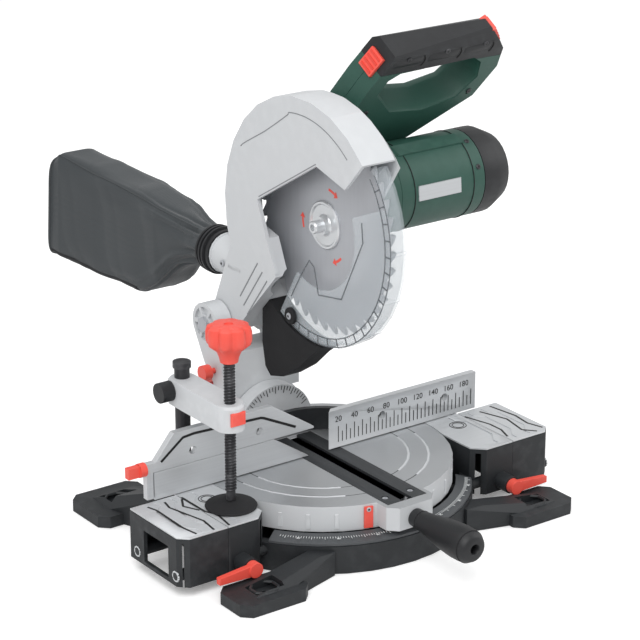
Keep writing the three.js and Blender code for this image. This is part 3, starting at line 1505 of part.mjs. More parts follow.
function addTurntable() {
  const table = frameAt(saw, [0, 0, 0]);
  fit(table, 'turntable', turntable(), silverPaint);
  fit(table, 'kerf_plate_left', kerfPlateAt(-1), darkPlate);
  fit(table, 'kerf_plate_right', kerfPlateAt(1), darkPlate);
  for (const [side, word] of [[-1, 'left'], [1, 'right']]) {
    const screw = screwAt(kerfScrewRadius, kerfPlate * kerfScrewHeadShare, kerfScrewRadius / 2, kerfPlate * 2,
      [side * kerfScrewX, kerfScrewInset - armFront, tableHeight - kerfPlate]);
    fit(table, `kerf_screw_${word}`, screw, steel);
  }
  place(table, 'mitre_pointer', mitrePointer(), red, [0, 0, 0], [0, 0, -pointerTurn]);
  fit(table, 'bevel_hub', bevelHub(), silverPaint);
  const grip = frameAt(table, [0, -armFront - seatGap, gripZ]);
  place(grip, 'mitre_grip', gripSolid(), blackPlastic, spots.get(grip));
  return table;
}

function addBevel(table) {
  const bevel = frameAt(table, [0, bracketStart, tableHeight]);
  fit(bevel, 'bevel_bracket', bevelBracket(), silverPaint);
  fit(bevel, 'hinge_pin', hingePin(), steel);
  fit(bevel, 'torsion_spring', torsionSpring(), darkSteel);
  fit(bevel, 'bevel_lever', bevelLever(), red);
  fit(bevel, 'travel_pin', travelPin(), red);
  return bevel;
}

function addHead(bevel) {
  const head = frameAt(bevel, [0, hingeY, hingeZ]);
  fit(head, 'head_casting', headCasting(), silverPaint);
  fit(head, 'gear_housing', gearHousing(), green);
  fit(head, 'motor_housing', motorHousing(), green);
  fit(head, 'motor_cap', motorCap(), blackPlastic);
  fit(head, 'stator', statorSolid(), copper);
  fit(head, 'arbor_bearing', arborBearing(), steel);
  fit(head, 'shaft_bearing', shaftBearing(), steel);
  fit(head, 'chip_deflector', chipDeflector(), blackPlastic);
  fit(head, 'dust_port', dustPort(), silverPaint);
  fit(head, 'bag_collar', bagCollar(), blackPlastic);
  fit(head, 'dust_bag', dustBag(), cloth);
  const lockPin = frameAt(head, lockPinSpot);
  const pin = new THREE.CylinderGeometry(lockPinRadius, lockPinRadius, lockPinHeight + 2 * gearboxWall, 20);
  place(lockPin, 'spindle_lock', solidOf(pin), red, spots.get(lockPin), [radians(-lockPinTurn), 0, 0]);
  addHandle(head);
  addDrive(head);
}

function addHandle(head) {
  const handle = frameAt(head, [0, handleY, handleZ]);
  handle.rotation.x = handleTurn;
  const local = [0, 0, 0];
  const put = (name, solid, look, spot = local, turn = local) => {
    const mesh = meshOf(name, solid, look);
    mesh.position.set(...spot);
    mesh.rotation.set(...turn);
    handle.add(mesh);
  };
  const pieces = handlePieces();
  put('handle_front', pieces.front, green);
  put('handle_rear', pieces.rear, green);
  put('grip_cover', pieces.cover, blackPlastic);
  put('trigger', trigger(), blackPlastic, [triggerX, triggerY, -handleThickness / 2]);
  for (const [side, word] of [[-1, 'left'], [1, 'right']]) {
    const { spot, lean } = chamferAt(side);
    put(`lock_button_${word}`, buttonSolid(), red, [...spot, -handleThickness / 2], [0, 0, lean]);
  }
}

function addDrive(head) {
  const blade = frameAt(head, [0, bladeY, bladeZ]);
  place(blade, 'saw_blade', bladeSolid(), steel, spots.get(blade));
  place(blade, 'outer_flange', outerFlange(), steel, spots.get(blade));
  place(blade, 'blade_bolt', bladeBolt(), darkSteel, spots.get(blade));
  place(blade, 'arbor', arborSolid(), steel, spots.get(blade));
  const guard = frameAt(head, [0, bladeY, bladeZ]);
  place(guard, 'lower_guard', lowerGuard(), clearPlastic, spots.get(guard));
  const armature = frameAt(head, [0, ...motorCentre]);
  place(armature, 'armature', armatureSolid(), copper, spots.get(armature));
}

function addClamp() {
  const post = frameAt(saw, [clampX, clampPostY, tableHeight]);
  fit(post, 'clamp_post', clampPost(), darkSteel);
  const arm = frameAt(post, [clampX, clampPostY, tableHeight + armLift]);
  fit(arm, 'clamp_arm', clampArm(), silverPaint);
  fit(arm, 'height_knob', heightKnob(), blackPlastic);
  const pad = frameAt(arm, [clampX, clampSpindleY, tableHeight]);
  fit(pad, 'clamp_pad', clampPad(), blackPlastic);
  const spindle = frameAt(pad, [clampX, clampSpindleY, tableHeight]);
  fit(spindle, 'clamp_spindle', clampSpindle(), steel);
}

addBase();
addSides();
addHead(addBevel(addTurntable()));
addClamp();

const box = new THREE.Box3().setFromObject(saw);
const centre = box.getCenter(new THREE.Vector3());
saw.position.set(-centre.x, -centre.y, -box.min.z);
const part = new THREE.Group();
part.add(saw);

export default part;
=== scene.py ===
import json
import math

import bmesh
import bpy
import numpy as np
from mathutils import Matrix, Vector

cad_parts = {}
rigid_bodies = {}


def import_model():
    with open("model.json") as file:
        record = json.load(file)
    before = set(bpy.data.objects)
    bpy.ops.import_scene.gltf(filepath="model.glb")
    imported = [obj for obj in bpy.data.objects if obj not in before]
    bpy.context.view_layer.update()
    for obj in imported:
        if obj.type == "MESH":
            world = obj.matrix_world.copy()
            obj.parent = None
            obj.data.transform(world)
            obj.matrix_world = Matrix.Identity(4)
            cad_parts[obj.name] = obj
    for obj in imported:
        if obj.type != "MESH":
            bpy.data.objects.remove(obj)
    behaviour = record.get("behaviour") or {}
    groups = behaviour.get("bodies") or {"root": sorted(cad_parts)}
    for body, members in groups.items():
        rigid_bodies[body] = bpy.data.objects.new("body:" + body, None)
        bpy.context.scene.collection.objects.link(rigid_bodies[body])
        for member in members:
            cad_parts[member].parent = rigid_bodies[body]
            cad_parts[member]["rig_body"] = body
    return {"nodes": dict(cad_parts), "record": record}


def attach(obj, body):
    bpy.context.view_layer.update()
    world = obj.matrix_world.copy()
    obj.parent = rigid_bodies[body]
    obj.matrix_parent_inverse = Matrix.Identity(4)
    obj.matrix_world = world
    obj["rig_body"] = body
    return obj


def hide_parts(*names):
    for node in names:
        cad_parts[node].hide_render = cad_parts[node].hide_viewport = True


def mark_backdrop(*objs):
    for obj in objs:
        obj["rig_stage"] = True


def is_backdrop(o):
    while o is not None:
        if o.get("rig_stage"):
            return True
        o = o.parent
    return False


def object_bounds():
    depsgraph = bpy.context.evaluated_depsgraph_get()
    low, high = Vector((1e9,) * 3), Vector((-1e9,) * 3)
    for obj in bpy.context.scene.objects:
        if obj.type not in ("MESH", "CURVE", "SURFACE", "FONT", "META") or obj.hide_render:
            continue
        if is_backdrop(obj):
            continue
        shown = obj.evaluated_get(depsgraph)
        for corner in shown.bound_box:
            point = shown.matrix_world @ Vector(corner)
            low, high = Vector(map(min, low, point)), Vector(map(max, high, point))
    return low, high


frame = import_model()
cad_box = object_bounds()

# Places are in millimetres in the saw's own frame: the table turns about the origin, and the floor is at
# zero. metres() brings them into the shared frame.
SAW_Y = 81.15
TABLE_TOP = 60.0
TABLE_RADIUS = 129.5
TABLE_RINGS = (86, 106)
RING_RADIUS = 150.0
SIDE_TABLE_SEAM = 172.0
BLADE_CENTRE = (-7.0, 299.0)
BLADE_RADIUS = 108.0
BLADE_TEETH = 40
BLADE_FACE = -1.25
HANDLE_ORIGIN = (0.0, -16.0, 405.0)
HANDLE_TURN = math.radians(32)
HANDLE_LEFT, HANDLE_WIDTH = 20, 166
HANDLE_FOOT, HANDLE_TALL = -72, 150
MOTOR_CENTRE = (-17.1, 327.2)
MOTOR_RADIUS = 43.0
HOOD_SIDE = -30.1
GUARD_SIDE = -13.2
FOOT_TOP = 12.2
FOOT_HOLES = ((-162, -132), (162, -132), (-167, 116), (167, 116))
GRIP_START, GRIP_HEIGHT = -150.3, 46
CLAMP_POST = (-144.0, 29.0)
CLAMP_SPINDLE = (-144.0, -52.0)
PORT = (-8.0, 229.0)
SHARP = math.radians(33)
ROUND_SHARP = math.radians(50)
CLOTH_SHARP = math.radians(60)
PROUD = 0.25

X, Y, Z = np.eye(3)


def metres(points):
    return (np.asarray(points, float) - [0, SAW_Y, 0]) / 1000


def linear(colour):
    """The light of a screen colour: each channel to the power 2.2."""
    return (*(channel ** 2.2 for channel in colour), 1.0)


# Nodes and finishes
COLOUR, VALUE, VECTOR = "NodeSocketColor", "NodeSocketFloat", "NodeSocketVector"
WHITE = (1, 1, 1, 1)


def add(tree, kind, inputs=None, **settings):
    made = tree.nodes.new(kind)
    for name, value in settings.items():
        setattr(made, name, value)
    for name, value in (inputs or {}).items():
        if isinstance(value, bpy.types.NodeSocket):
            tree.links.new(value, made.inputs[name])
        else:
            made.inputs[name].default_value = value
    return made


def effect(name, inputs, outputs):
    tree = bpy.data.node_groups.new(name, "ShaderNodeTree")
    for label, kind, value in inputs:
        socket = tree.interface.new_socket(label, in_out="INPUT", socket_type=kind)
        socket.default_value = value
    for label, kind in outputs:
        tree.interface.new_socket(label, in_out="OUTPUT", socket_type=kind)
    return tree, tree.nodes.new("NodeGroupInput").outputs, tree.nodes.new("NodeGroupOutput").inputs


def use(tree, shared, inputs):
    return add(tree, "ShaderNodeGroup", inputs, node_tree=shared).outputs


def maths(tree, operation, a, b=0.0):
    return add(tree, "ShaderNodeMath", {0: a, 1: b}, operation=operation).outputs[0]


def object_place(tree):
    return add(tree, "ShaderNodeTexCoord").outputs["Object"]


def noise(tree, place, scale, detail):
    return add(tree, "ShaderNodeTexNoise", {"Vector": place, "Scale": scale, "Detail": detail}).outputs[0]


def weighed(tree, first, share, second, rest):
    """The sum of two masks, each times its own share."""
    return maths(tree, "ADD", maths(tree, "MULTIPLY", first, share), maths(tree, "MULTIPLY", second, rest))


def wandering(tree, value, mask, reach):
    """A value that goes up and down with the mask, within the reach."""
    return maths(tree, "ADD", value, maths(tree, "MULTIPLY", maths(tree, "SUBTRACT", mask, 0.5), reach))


def mixed(tree, mask, first, second):
    """The first colour where the mask is zero, and the second where it is one."""
    return add(tree, "ShaderNodeMix", {"Factor": mask, 6: first, 7: second}, data_type="RGBA").outputs[2]


def between(tree, mask, low, high):
    """Low where the mask is zero, and high where it is one."""
    return add(tree, "ShaderNodeMapRange", {"Value": mask, "To Min": low, "To Max": high}).outputs[0]


def share_of(tree, value, low, high):
    """How far a value has come on its way from low to high, from zero to one."""
    return add(tree, "ShaderNodeMapRange", {"Value": value, "From Min": low, "From Max": high}).outputs[0]


def spread_colour(tree, colour, mask, darker, lighter):
    """The colour times a factor that runs from darker to lighter with the mask."""
    factor = between(tree, mask, darker, lighter)
    return add(tree, "ShaderNodeVectorMath", {0: colour, "Scale": factor}, operation="SCALE").outputs[0]


def grain_effect():
    """Fine grain over slow mottling: two noises in the object's own place."""
    tree, given, out = effect(
        "grain", [("Colour", COLOUR, WHITE), ("Scale", VALUE, 900), ("Mottle", VALUE, 18),
                  ("Spread", VALUE, 0.05), ("Roughness", VALUE, 0.5)],
        [("Colour", COLOUR), ("Roughness", VALUE), ("Height", VALUE)])
    place = object_place(tree)
    fine = noise(tree, place, given["Scale"], 3)
    slow = noise(tree, place, given["Mottle"], 4)
    both = weighed(tree, fine, 0.45, slow, 0.55)
    darker = maths(tree, "SUBTRACT", 1.0, given["Spread"])
    lighter = maths(tree, "ADD", 1.0, given["Spread"])
    tree.links.new(spread_colour(tree, given["Colour"], both, darker, lighter), out["Colour"])
    tree.links.new(wandering(tree, given["Roughness"], slow, 0.25), out["Roughness"])
    tree.links.new(fine, out["Height"])
    return tree


def brushed_effect():
    """Brushed lines: noise stretched along one direction of the object."""
    tree, given, out = effect(
        "brushed", [("Colour", COLOUR, WHITE), ("Stretch", VECTOR, (4, 500, 500)),
                    ("Roughness", VALUE, 0.35)],
        [("Colour", COLOUR), ("Roughness", VALUE), ("Height", VALUE)])
    place = object_place(tree)
    lines = add(tree, "ShaderNodeVectorMath", {0: place, 1: given["Stretch"]}, operation="MULTIPLY")
    fine = noise(tree, lines.outputs[0], 1.0, 4)
    slow = noise(tree, place, 14.0, 2)
    both = weighed(tree, fine, 0.7, slow, 0.3)
    tree.links.new(spread_colour(tree, given["Colour"], both, 0.86, 1.12), out["Colour"])
    tree.links.new(wandering(tree, given["Roughness"], fine, 0.4), out["Roughness"])
    tree.links.new(fine, out["Height"])
    return tree


def wear_effect():
    """Worn edges: the sharpness of the surface, broken up by noise."""
    tree, given, out = effect(
        "worn edges", [("Colour", COLOUR, WHITE), ("Worn", COLOUR, WHITE), ("Amount", VALUE, 0.4)],
        [("Colour", COLOUR)])
    sharp = add(tree, "ShaderNodeNewGeometry").outputs["Pointiness"]
    edge = share_of(tree, sharp, 0.52, 0.6)
    patches = noise(tree, object_place(tree), 90.0, 4)
    broken = share_of(tree, patches, 0.45, 0.65)
    mask = maths(tree, "MULTIPLY", maths(tree, "MULTIPLY", edge, broken), given["Amount"])
    tree.links.new(mixed(tree, mask, given["Colour"], given["Worn"]), out["Colour"])
    return tree


def weave_effect():
    """A plain weave: two sets of bands across the cloth's own width and length."""
    tree, given, out = effect("weave", [("Colour", COLOUR, WHITE), ("Threads", VALUE, 140)],
                              [("Colour", COLOUR), ("Height", VALUE)])
    place = add(tree, "ShaderNodeTexCoord").outputs["UV"]
    bands = {"Vector": place, "Scale": given["Threads"]}
    across = add(tree, "ShaderNodeTexWave", bands, bands_direction="X").outputs[1]
    along = add(tree, "ShaderNodeTexWave", bands, bands_direction="Y").outputs[1]
    threads = maths(tree, "MAXIMUM", across, along)
    slow = noise(tree, object_place(tree), 22.0, 4)
    both = weighed(tree, threads, 0.5, slow, 0.5)
    tree.links.new(spread_colour(tree, given["Colour"], both, 0.8, 1.2), out["Colour"])
    tree.links.new(threads, out["Height"])
    return tree


GRAIN, BRUSHED, WORN, WEAVE = grain_effect(), brushed_effect(), wear_effect(), weave_effect()


def blank_finish(name):
    material = bpy.data.materials.new(name)
    material.use_nodes = True
    return material, material.node_tree, material.node_tree.nodes["Principled BSDF"]


def bump(tree, shader, height, strength, distance=0.0004):
    made = add(tree, "ShaderNodeBump", {"Height": height, "Strength": strength, "Distance": distance})
    tree.links.new(made.outputs[0], shader.inputs["Normal"])


def join(tree, shader, colour, out, metallic, rise):
    """Brings a colour and an effect's roughness and height to the shader."""
    tree.links.new(colour, shader.inputs["Base Color"])
    tree.links.new(out["Roughness"], shader.inputs["Roughness"])
    shader.inputs["Metallic"].default_value = metallic
    bump(tree, shader, out["Height"], rise)


def grained(name, colour, roughness, scale=900, spread=0.06, rise=0.15, worn=None, metallic=0.0):
    material, tree, shader = blank_finish(name)
    out = use(tree, GRAIN, {"Colour": linear(colour), "Scale": scale, "Spread": spread,
                            "Roughness": roughness})
    shade = out["Colour"]
    if worn:
        shade = use(tree, WORN, {"Colour": shade, "Worn": linear(worn)})["Colour"]
    join(tree, shader, shade, out, metallic, rise)
    return material


def brushed(name, colour, roughness, stretch, metallic=1.0, rise=0.12):
    material, tree, shader = blank_finish(name)
    out = use(tree, BRUSHED, {"Colour": linear(colour), "Stretch": stretch, "Roughness": roughness})
    join(tree, shader, out["Colour"], out, metallic, rise)
    return material


def clear_finish(name, colour, thin, thick):
    """Clear plastic: more of its own colour where it is seen at a slant."""
    material, tree, shader = blank_finish(name)
    out = use(tree, GRAIN, {"Colour": linear(colour), "Scale": 60, "Spread": 0.03, "Roughness": 0.12})
    join(tree, shader, out["Colour"], out, 0.0, 0.05)
    rim = add(tree, "ShaderNodeLayerWeight", {"Blend": 0.3}).outputs["Facing"]
    tree.links.new(between(tree, rim, thin, thick), shader.inputs["Alpha"])
    return material


def cloth_finish():
    material, tree, shader = blank_finish("bag_cloth")
    out = use(tree, WEAVE, {"Colour": linear((0.24, 0.255, 0.265)), "Threads": 120})
    tree.links.new(out["Colour"], shader.inputs["Base Color"])
    shader.inputs["Roughness"].default_value = 0.9
    shader.inputs["Sheen Weight"].default_value = 0.2
    bump(tree, shader, out["Height"], 0.35, 0.0003)
    return material


def table_finish():
    """Silver paint below, and a brushed top above, with painted shade along two fine turned circles."""
    material, tree, shader = blank_finish("turntable_finish")
    split = add(tree, "ShaderNodeSeparateXYZ", {0: object_place(tree)}).outputs
    top = maths(tree, "GREATER_THAN", split[2], (TABLE_TOP - 0.3) / 1000)
    back = maths(tree, "ADD", split[1], SAW_Y / 1000)
    square = maths(tree, "ADD", maths(tree, "MULTIPLY", split[0], split[0]),
                   maths(tree, "MULTIPLY", back, back))
    radius = maths(tree, "SQRT", square)
    lines = 0.0
    for ring in TABLE_RINGS:
        away = maths(tree, "ABSOLUTE", maths(tree, "SUBTRACT", radius, ring / 1000))
        lines = maths(tree, "MAXIMUM", maths(tree, "LESS_THAN", away, 0.0006), lines)
    # Painted shade: the top turns flat grey along the two rings, standing for the shade in their grooves.
    ring_shade = maths(tree, "MULTIPLY", lines, top)
    paint = use(tree, GRAIN, {"Colour": linear((0.78, 0.79, 0.80)), "Spread": 0.03, "Roughness": 0.42})
    metal = use(tree, BRUSHED, {"Colour": linear((0.72, 0.73, 0.74)), "Stretch": (3, 420, 420),
                                "Roughness": 0.4})
    colour = mixed(tree, top, paint["Colour"], metal["Colour"])
    rough = add(tree, "ShaderNodeMix", {"Factor": top, 2: paint["Roughness"], 3: metal["Roughness"]})
    tree.links.new(mixed(tree, ring_shade, colour, linear((0.35, 0.36, 0.37))), shader.inputs["Base Color"])
    tree.links.new(rough.outputs[0], shader.inputs["Roughness"])
    tree.links.new(maths(tree, "MULTIPLY", top, 0.75), shader.inputs["Metallic"])
    bump(tree, shader, metal["Height"], 0.08)
    return material


finishes = {
    "dark_casting": grained("dark_casting", (0.15, 0.16, 0.17), 0.55, 700, 0.1, 0.3,
                            (0.3, 0.31, 0.32)),
    "silver_casting": grained("silver_casting", (0.78, 0.79, 0.80), 0.42, 800, 0.03, 0.12,
                              (0.86, 0.87, 0.88)),
    "brushed_aluminium": brushed("brushed_aluminium", (0.8, 0.81, 0.82), 0.4, (4, 480, 480), 0.45),
    "steel": brushed("steel", (0.7, 0.71, 0.73), 0.38, (2, 240, 12), 0.4),
    "dark_steel": grained("dark_steel", (0.25, 0.25, 0.26), 0.38, 600, 0.08, 0.1, (0.5, 0.5, 0.51), 0.7),
    "windings": brushed("windings", (0.61, 0.37, 0.22), 0.4, (6, 700, 700), 0.8),
    "green_plastic": grained("green_plastic", (0.17, 0.31, 0.27), 0.48, 1300, 0.05, 0.2, (0.24, 0.38, 0.34)),
    "black_plastic": grained("black_plastic", (0.115, 0.12, 0.13), 0.5, 1300, 0.08, 0.2, (0.22, 0.23, 0.24)),
    "red_plastic": grained("red_plastic", (0.92, 0.33, 0.28), 0.42, 1200, 0.04, 0.12, (0.96, 0.45, 0.4)),
    "dark_plate": grained("dark_plate", (0.2, 0.21, 0.22), 0.55, 900, 0.07, 0.15),
    "printed_scale": grained("printed_scale", (0.3, 0.31, 0.32), 0.5, 700, 0.05, 0.08),
    "rubber": grained("rubber", (0.1, 0.1, 0.11), 0.8, 500, 0.12, 0.3),
    "clear_plastic": clear_finish("clear_plastic", (0.8, 0.83, 0.85), 0.1, 0.7),
    "bag_cloth": cloth_finish(),
}
turntable_finish = table_finish()
smoked_edge = clear_finish("smoked_edge", (0.42, 0.44, 0.46), 0.6, 0.95)
# Painted shade: a flat grey for the hood's seams and the arm's grooves, which are strips laid on the surface,
# not cut in.
seam_shade_grey = grained("seam_shade_grey", (0.5, 0.51, 0.52), 0.6, 700, 0.05, 0.1)
flange_shine = grained("flange_shine", (0.84, 0.85, 0.86), 0.25, 300, 0.05, 0.05, None, 0.6)
red_ridge = grained("red_ridge", (0.85, 0.27, 0.22), 0.45, 1200, 0.04, 0.12)
white_print = grained("white_print", (0.86, 0.87, 0.87), 0.6, 900, 0.04, 0.05)
# Near black for print and marks, and also the painted shade in the screw recesses and the grip cover's
# grooves.
print_and_shade_black = grained("print_and_shade_black", (0.06, 0.06, 0.065), 0.6, 900, 0.05, 0.05)
bare_plate = brushed("bare_plate", (0.8, 0.81, 0.82), 0.35, (5, 500, 500), 0.7, 0.06)
carbide = grained("carbide", (0.62, 0.63, 0.64), 0.35, 900, 0.05, 0.1, None, 0.6)


# Surfaces: each gives its points, in millimetres, and its faces
def net(points, wrap=False, closed=False):
    """Faces of a grid of points, going round if wrap, with flat ends if closed."""
    rows, columns = points.shape[:2]
    index = np.arange(rows * columns).reshape(rows, columns)
    across = np.hstack([index, index[:, :1]]) if wrap else index
    corners = [across[:-1, :-1], across[:-1, 1:], across[1:, 1:], across[1:, :-1]]
    faces = np.stack(corners, -1).reshape(-1, 4).tolist()
    if closed:
        faces += [index[0][::-1].tolist(), index[-1].tolist()]
    return points.reshape(-1, 3), faces


def full_turn(count):
    return np.linspace(0, 2 * np.pi, count, endpoint=False)


def basis(axis):
    axis = np.asarray(axis, float) / np.linalg.norm(axis)
    side = np.cross(axis, X if abs(axis[0]) < 0.9 else Y)
    side /= np.linalg.norm(side)
    return side, np.cross(axis, side), axis


def directions(path):
    """The direction of a path at each of its places."""
    ahead = np.gradient(path, axis=0)
    return ahead / np.linalg.norm(ahead, axis=1, keepdims=True)


def lathe(profile, centre, axis, sides=40, wave=None, closed=True):
    """A profile of radius and height turned about an axis; wave(angle, profile) scales the radius."""
    side, other, axis = basis(axis)
    profile = np.asarray(profile, float)
    angle = full_turn(sides)[None, :]
    radius = np.repeat(profile[:, :1], sides, 1)
    if wave is not None:
        radius = radius * wave(angle, profile)
    round_part = radius[..., None] * (np.cos(angle)[..., None] * side + np.sin(angle)[..., None] * other)
    points = np.asarray(centre) + round_part + profile[:, 1, None, None] * axis
    return net(points, wrap=True, closed=closed)


def tube(path, radius, sides=8, closed=True):
    """A round section carried along a path, square to the path's direction at each place."""
    path = np.asarray(path, float)
    ahead = directions(path)
    side = np.cross(ahead, np.where(np.abs(ahead[:, 2:]) > 0.9, X, Z))
    side /= np.linalg.norm(side, axis=1, keepdims=True)
    top = np.cross(side, ahead)
    angle = full_turn(sides)[None, :, None]
    points = path[:, None] + radius * (np.cos(angle) * side[:, None] + np.sin(angle) * top[:, None])
    return net(points, wrap=True, closed=closed)


def slab(outline, origin, along, across, height, chamfer=0.0):
    """A flat shape raised by a height along the cross of its directions, with its top edge drawn in."""
    outline = np.asarray(outline, float)
    along, across = np.asarray(along, float), np.asarray(across, float)
    normal = np.cross(along, across)
    middle = outline.mean(0)
    away = outline - middle
    length = np.linalg.norm(away, axis=1, keepdims=True)
    drawn = middle + away * (1 - chamfer / np.maximum(length, 0.1))
    rows = [(outline, 0.0), (outline, height - min(chamfer, height * 0.6)), (drawn, height)]
    points = [np.asarray(origin) + flat @ np.stack([along, across]) + rise * normal for flat, rise in rows]
    return net(np.stack(points), wrap=True, closed=True)


def oblong(half_width, half_height):
    """The corners of an oblong about its own middle."""
    return [(-half_width, -half_height), (half_width, -half_height), (half_width, half_height),
            (-half_width, half_height)]


def upright(half_width, low, high):
    """The corners of an oblong between two heights."""
    return [(-half_width, low), (half_width, low), (half_width, high), (-half_width, high)]


def strip(path, width, normal, rise=PROUD):
    """A flat band along a path that stands a little proud of the surface under it."""
    path = np.asarray(path, float)
    normal = np.asarray(normal, float) / np.linalg.norm(normal)
    side = np.cross(normal, directions(path)) * width / 2
    lift = normal * rise
    points = np.stack([path - side - lift, path + side - lift, path + side + lift, path - side + lift], 1)
    return net(points, wrap=True, closed=True)


def resampled(places, count):
    """Even steps along the straight lines between places, as many in each line."""
    places = np.asarray(places, float)
    along = np.linspace(0, len(places) - 1, count)
    return np.stack([np.interp(along, np.arange(len(places)), column) for column in places.T], -1)


def pile(*surfaces):
    """Several surfaces as one."""
    points, faces, start = [], [], 0
    for more, corners in surfaces:
        points.append(more)
        faces += [[corner + start for corner in face] for face in corners]
        start += len(more)
    return np.concatenate(points), faces


def mesh_of(name, surface, sharp=SHARP):
    points, faces = surface
    mesh = bpy.data.meshes.new(name)
    mesh.from_pydata(metres(points).tolist(), [], faces)
    edit = bmesh.new()
    edit.from_mesh(mesh)
    bmesh.ops.recalc_face_normals(edit, faces=edit.faces)
    edit.to_mesh(mesh)
    edit.free()
    mesh.shade_smooth()
    mesh.set_sharp_from_angle(angle=sharp)
    return mesh


def show(name, mesh, body, slot, finish=None, stands_for=()):
    obj = bpy.data.objects.new(name, mesh)
    bpy.context.scene.collection.objects.link(obj)
    mesh.materials.clear()
    mesh.materials.append(finish or finishes[slot])
    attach(obj, body)
    if stands_for:
        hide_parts(*stands_for)
    return obj


def piece(name, surface, body, slot, finish=None, stands_for=(), sharp=SHARP):
    return show(name, mesh_of(name, surface, sharp), body, slot, finish, stands_for)


def evaluated(draft):
    """The draft's mesh with what is set on it carried out; the draft itself goes."""
    bpy.context.scene.collection.objects.link(draft)
    bpy.context.view_layer.update()
    mesh = bpy.data.meshes.new_from_object(draft.evaluated_get(bpy.context.evaluated_depsgraph_get()))
    bpy.data.objects.remove(draft)
    return mesh


slots = {row["node"]: row["material_slot"] for row in frame["record"]["subparts"]}


def refined(node, width=0.5, finish=None, sharp=SHARP):
    """A CAD node's shape with its doubled corners merged and its sharp edges rounded."""
    source = frame["nodes"][node]
    mesh = source.data.copy()
    edit = bmesh.new()
    edit.from_mesh(mesh)
    bmesh.ops.remove_doubles(edit, verts=edit.verts, dist=0.00001)
    bmesh.ops.dissolve_limit(edit, angle_limit=math.radians(0.5), verts=edit.verts, edges=edit.edges)
    edit.to_mesh(mesh)
    edit.free()
    mesh.shade_smooth()
    draft = bpy.data.objects.new(node + "_draft", mesh)
    rounding = draft.modifiers.new("rounding", "BEVEL")
    rounding.width = width / 1000
    rounding.segments = 2
    rounding.limit_method = "ANGLE"
    rounding.angle_limit = math.radians(30)
    normals = draft.modifiers.new("normals", "WEIGHTED_NORMAL")
    normals.keep_sharp = True
    done = evaluated(draft)
    done.set_sharp_from_angle(angle=sharp)
    return show(node + "_shape", done, source["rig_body"], slots[node], finish, (node,))


def digits(text, origin, along, across, size):
    """Plain figures as thin flat faces, centred on a place, as points and faces."""
    curve = bpy.data.curves.new("figures", "FONT")
    curve.body = text
    curve.size = size
    curve.align_x = "CENTER"
    curve.align_y = "CENTER"
    curve.resolution_u = 3
    mesh = evaluated(bpy.data.objects.new("figures", curve))
    flat = np.zeros(len(mesh.vertices) * 3)
    mesh.vertices.foreach_get("co", flat)
    flat = flat.reshape(-1, 3)[:, :2]
    faces = [list(face.vertices) for face in mesh.polygons]
    return np.asarray(origin) + flat @ np.stack([np.asarray(along, float), np.asarray(across, float)]), faces


def ring_path(centre, radius, axis, start=0.0, end=360.0, steps=48):
    side, other, _ = basis(axis)
    angle = np.radians(np.linspace(start, end, steps))[:, None]
    return np.asarray(centre) + radius * (np.cos(angle) * side + np.sin(angle) * other)


def spoke(degrees):
    """The directions outward and across at an angle about the table's axis, counted from the front."""
    angle = math.radians(degrees)
    return (np.array([math.sin(angle), -math.cos(angle), 0]),
            np.array([math.cos(angle), math.sin(angle), 0]))


def screw(centre, axis, radius=3.0, rise=1.2):
    """A pan head with a hexagonal recess: a short lathe, and a smaller six-sided one on top, which screws()
    colours near black as painted shade for the recess.
    """
    head = [(0.05, 0), (radius, 0), (radius, rise * 0.6), (radius * 0.8, rise), (0.05, rise)]
    socket = radius * 0.45
    recess = [(0.05, rise * 0.9), (socket, rise * 0.9), (socket, rise * 1.05), (0.05, rise * 1.05)]
    return lathe(head, centre, axis, 20), lathe(recess, centre, axis, 6)


def screws(name, places, body, slot="dark_steel", radius=3.0):
    heads, recesses = zip(*(screw(centre, axis, radius) for centre, axis in places))
    piece(name, pile(*heads), body, slot)
    # Painted shade: the six-sided caps stand on the heads, near black for the shade inside each socket.
    piece(name + "_recess_shades", pile(*recesses), body, "rubber", print_and_shade_black)


def on_handle(x, w, out=0.0):
    """A place on the handle: across, up its face, and out from its front."""
    up = np.array([0, -math.sin(HANDLE_TURN), math.cos(HANDLE_TURN)])
    front = np.array([0, -math.cos(HANDLE_TURN), -math.sin(HANDLE_TURN)])
    x, w, out = (np.asarray(value, float)[..., None] for value in (x, w, out))
    return np.asarray(HANDLE_ORIGIN) + x * X + w * up + out * front


HANDLE_FRONT = on_handle(0, 0, 1) - on_handle(0, 0)


def around(centre, radius, degrees, x):
    """A place at a radius and an angle from the front upward, about an axis that runs to the right."""
    angle = np.radians(degrees)
    return np.stack([np.broadcast_to(x, np.shape(angle)), centre[0] - radius * np.cos(angle),
                     centre[1] + radius * np.sin(angle)], -1)


# The dust bag
BAG_START, BAG_LENGTH, BAG_DRIFT = 175.2, 224.6, 44
BAG_FLOOR, BAG_HEIGHT, BAG_HALF_WIDTH = 150, 145, 31
BAG_FOLD_ROOM, BAG_LEAN = 3.0, 15
BAG_ROWS, BAG_COLUMNS = 150, 168
BAG_SHARES = np.array([
    [0, 0.106, 0.2, 0.296, 0.425, 0.704, 0.93, 1.0],
    [0.7, 0.8, 0.9, 1.0, 1.02, 1.04, 0.98, 0.85],
    [0.386, 0.366, 0.3, 0.14, 0.02, 0.07, 0.117, 0.15],
    [0.7, 0.717, 0.75, 0.786, 0.834, 0.91, 0.993, 0.93],
])
COLLAR_START = 154.5
COLLAR_PROFILE = [(20.4, 0), (22.6, 0), (23, 1.2), (23, 3.4), (22.2, 4), (22.2, 6), (25, 6.6), (25, 9),
                  (22.2, 9.6), (22.2, 11.4), (25, 12), (25, 14.4), (22.4, 15), (22.4, 17), (24.6, 17.6),
                  (24.6, 19.8), (20.4, 19.8), (20.4, 0)]


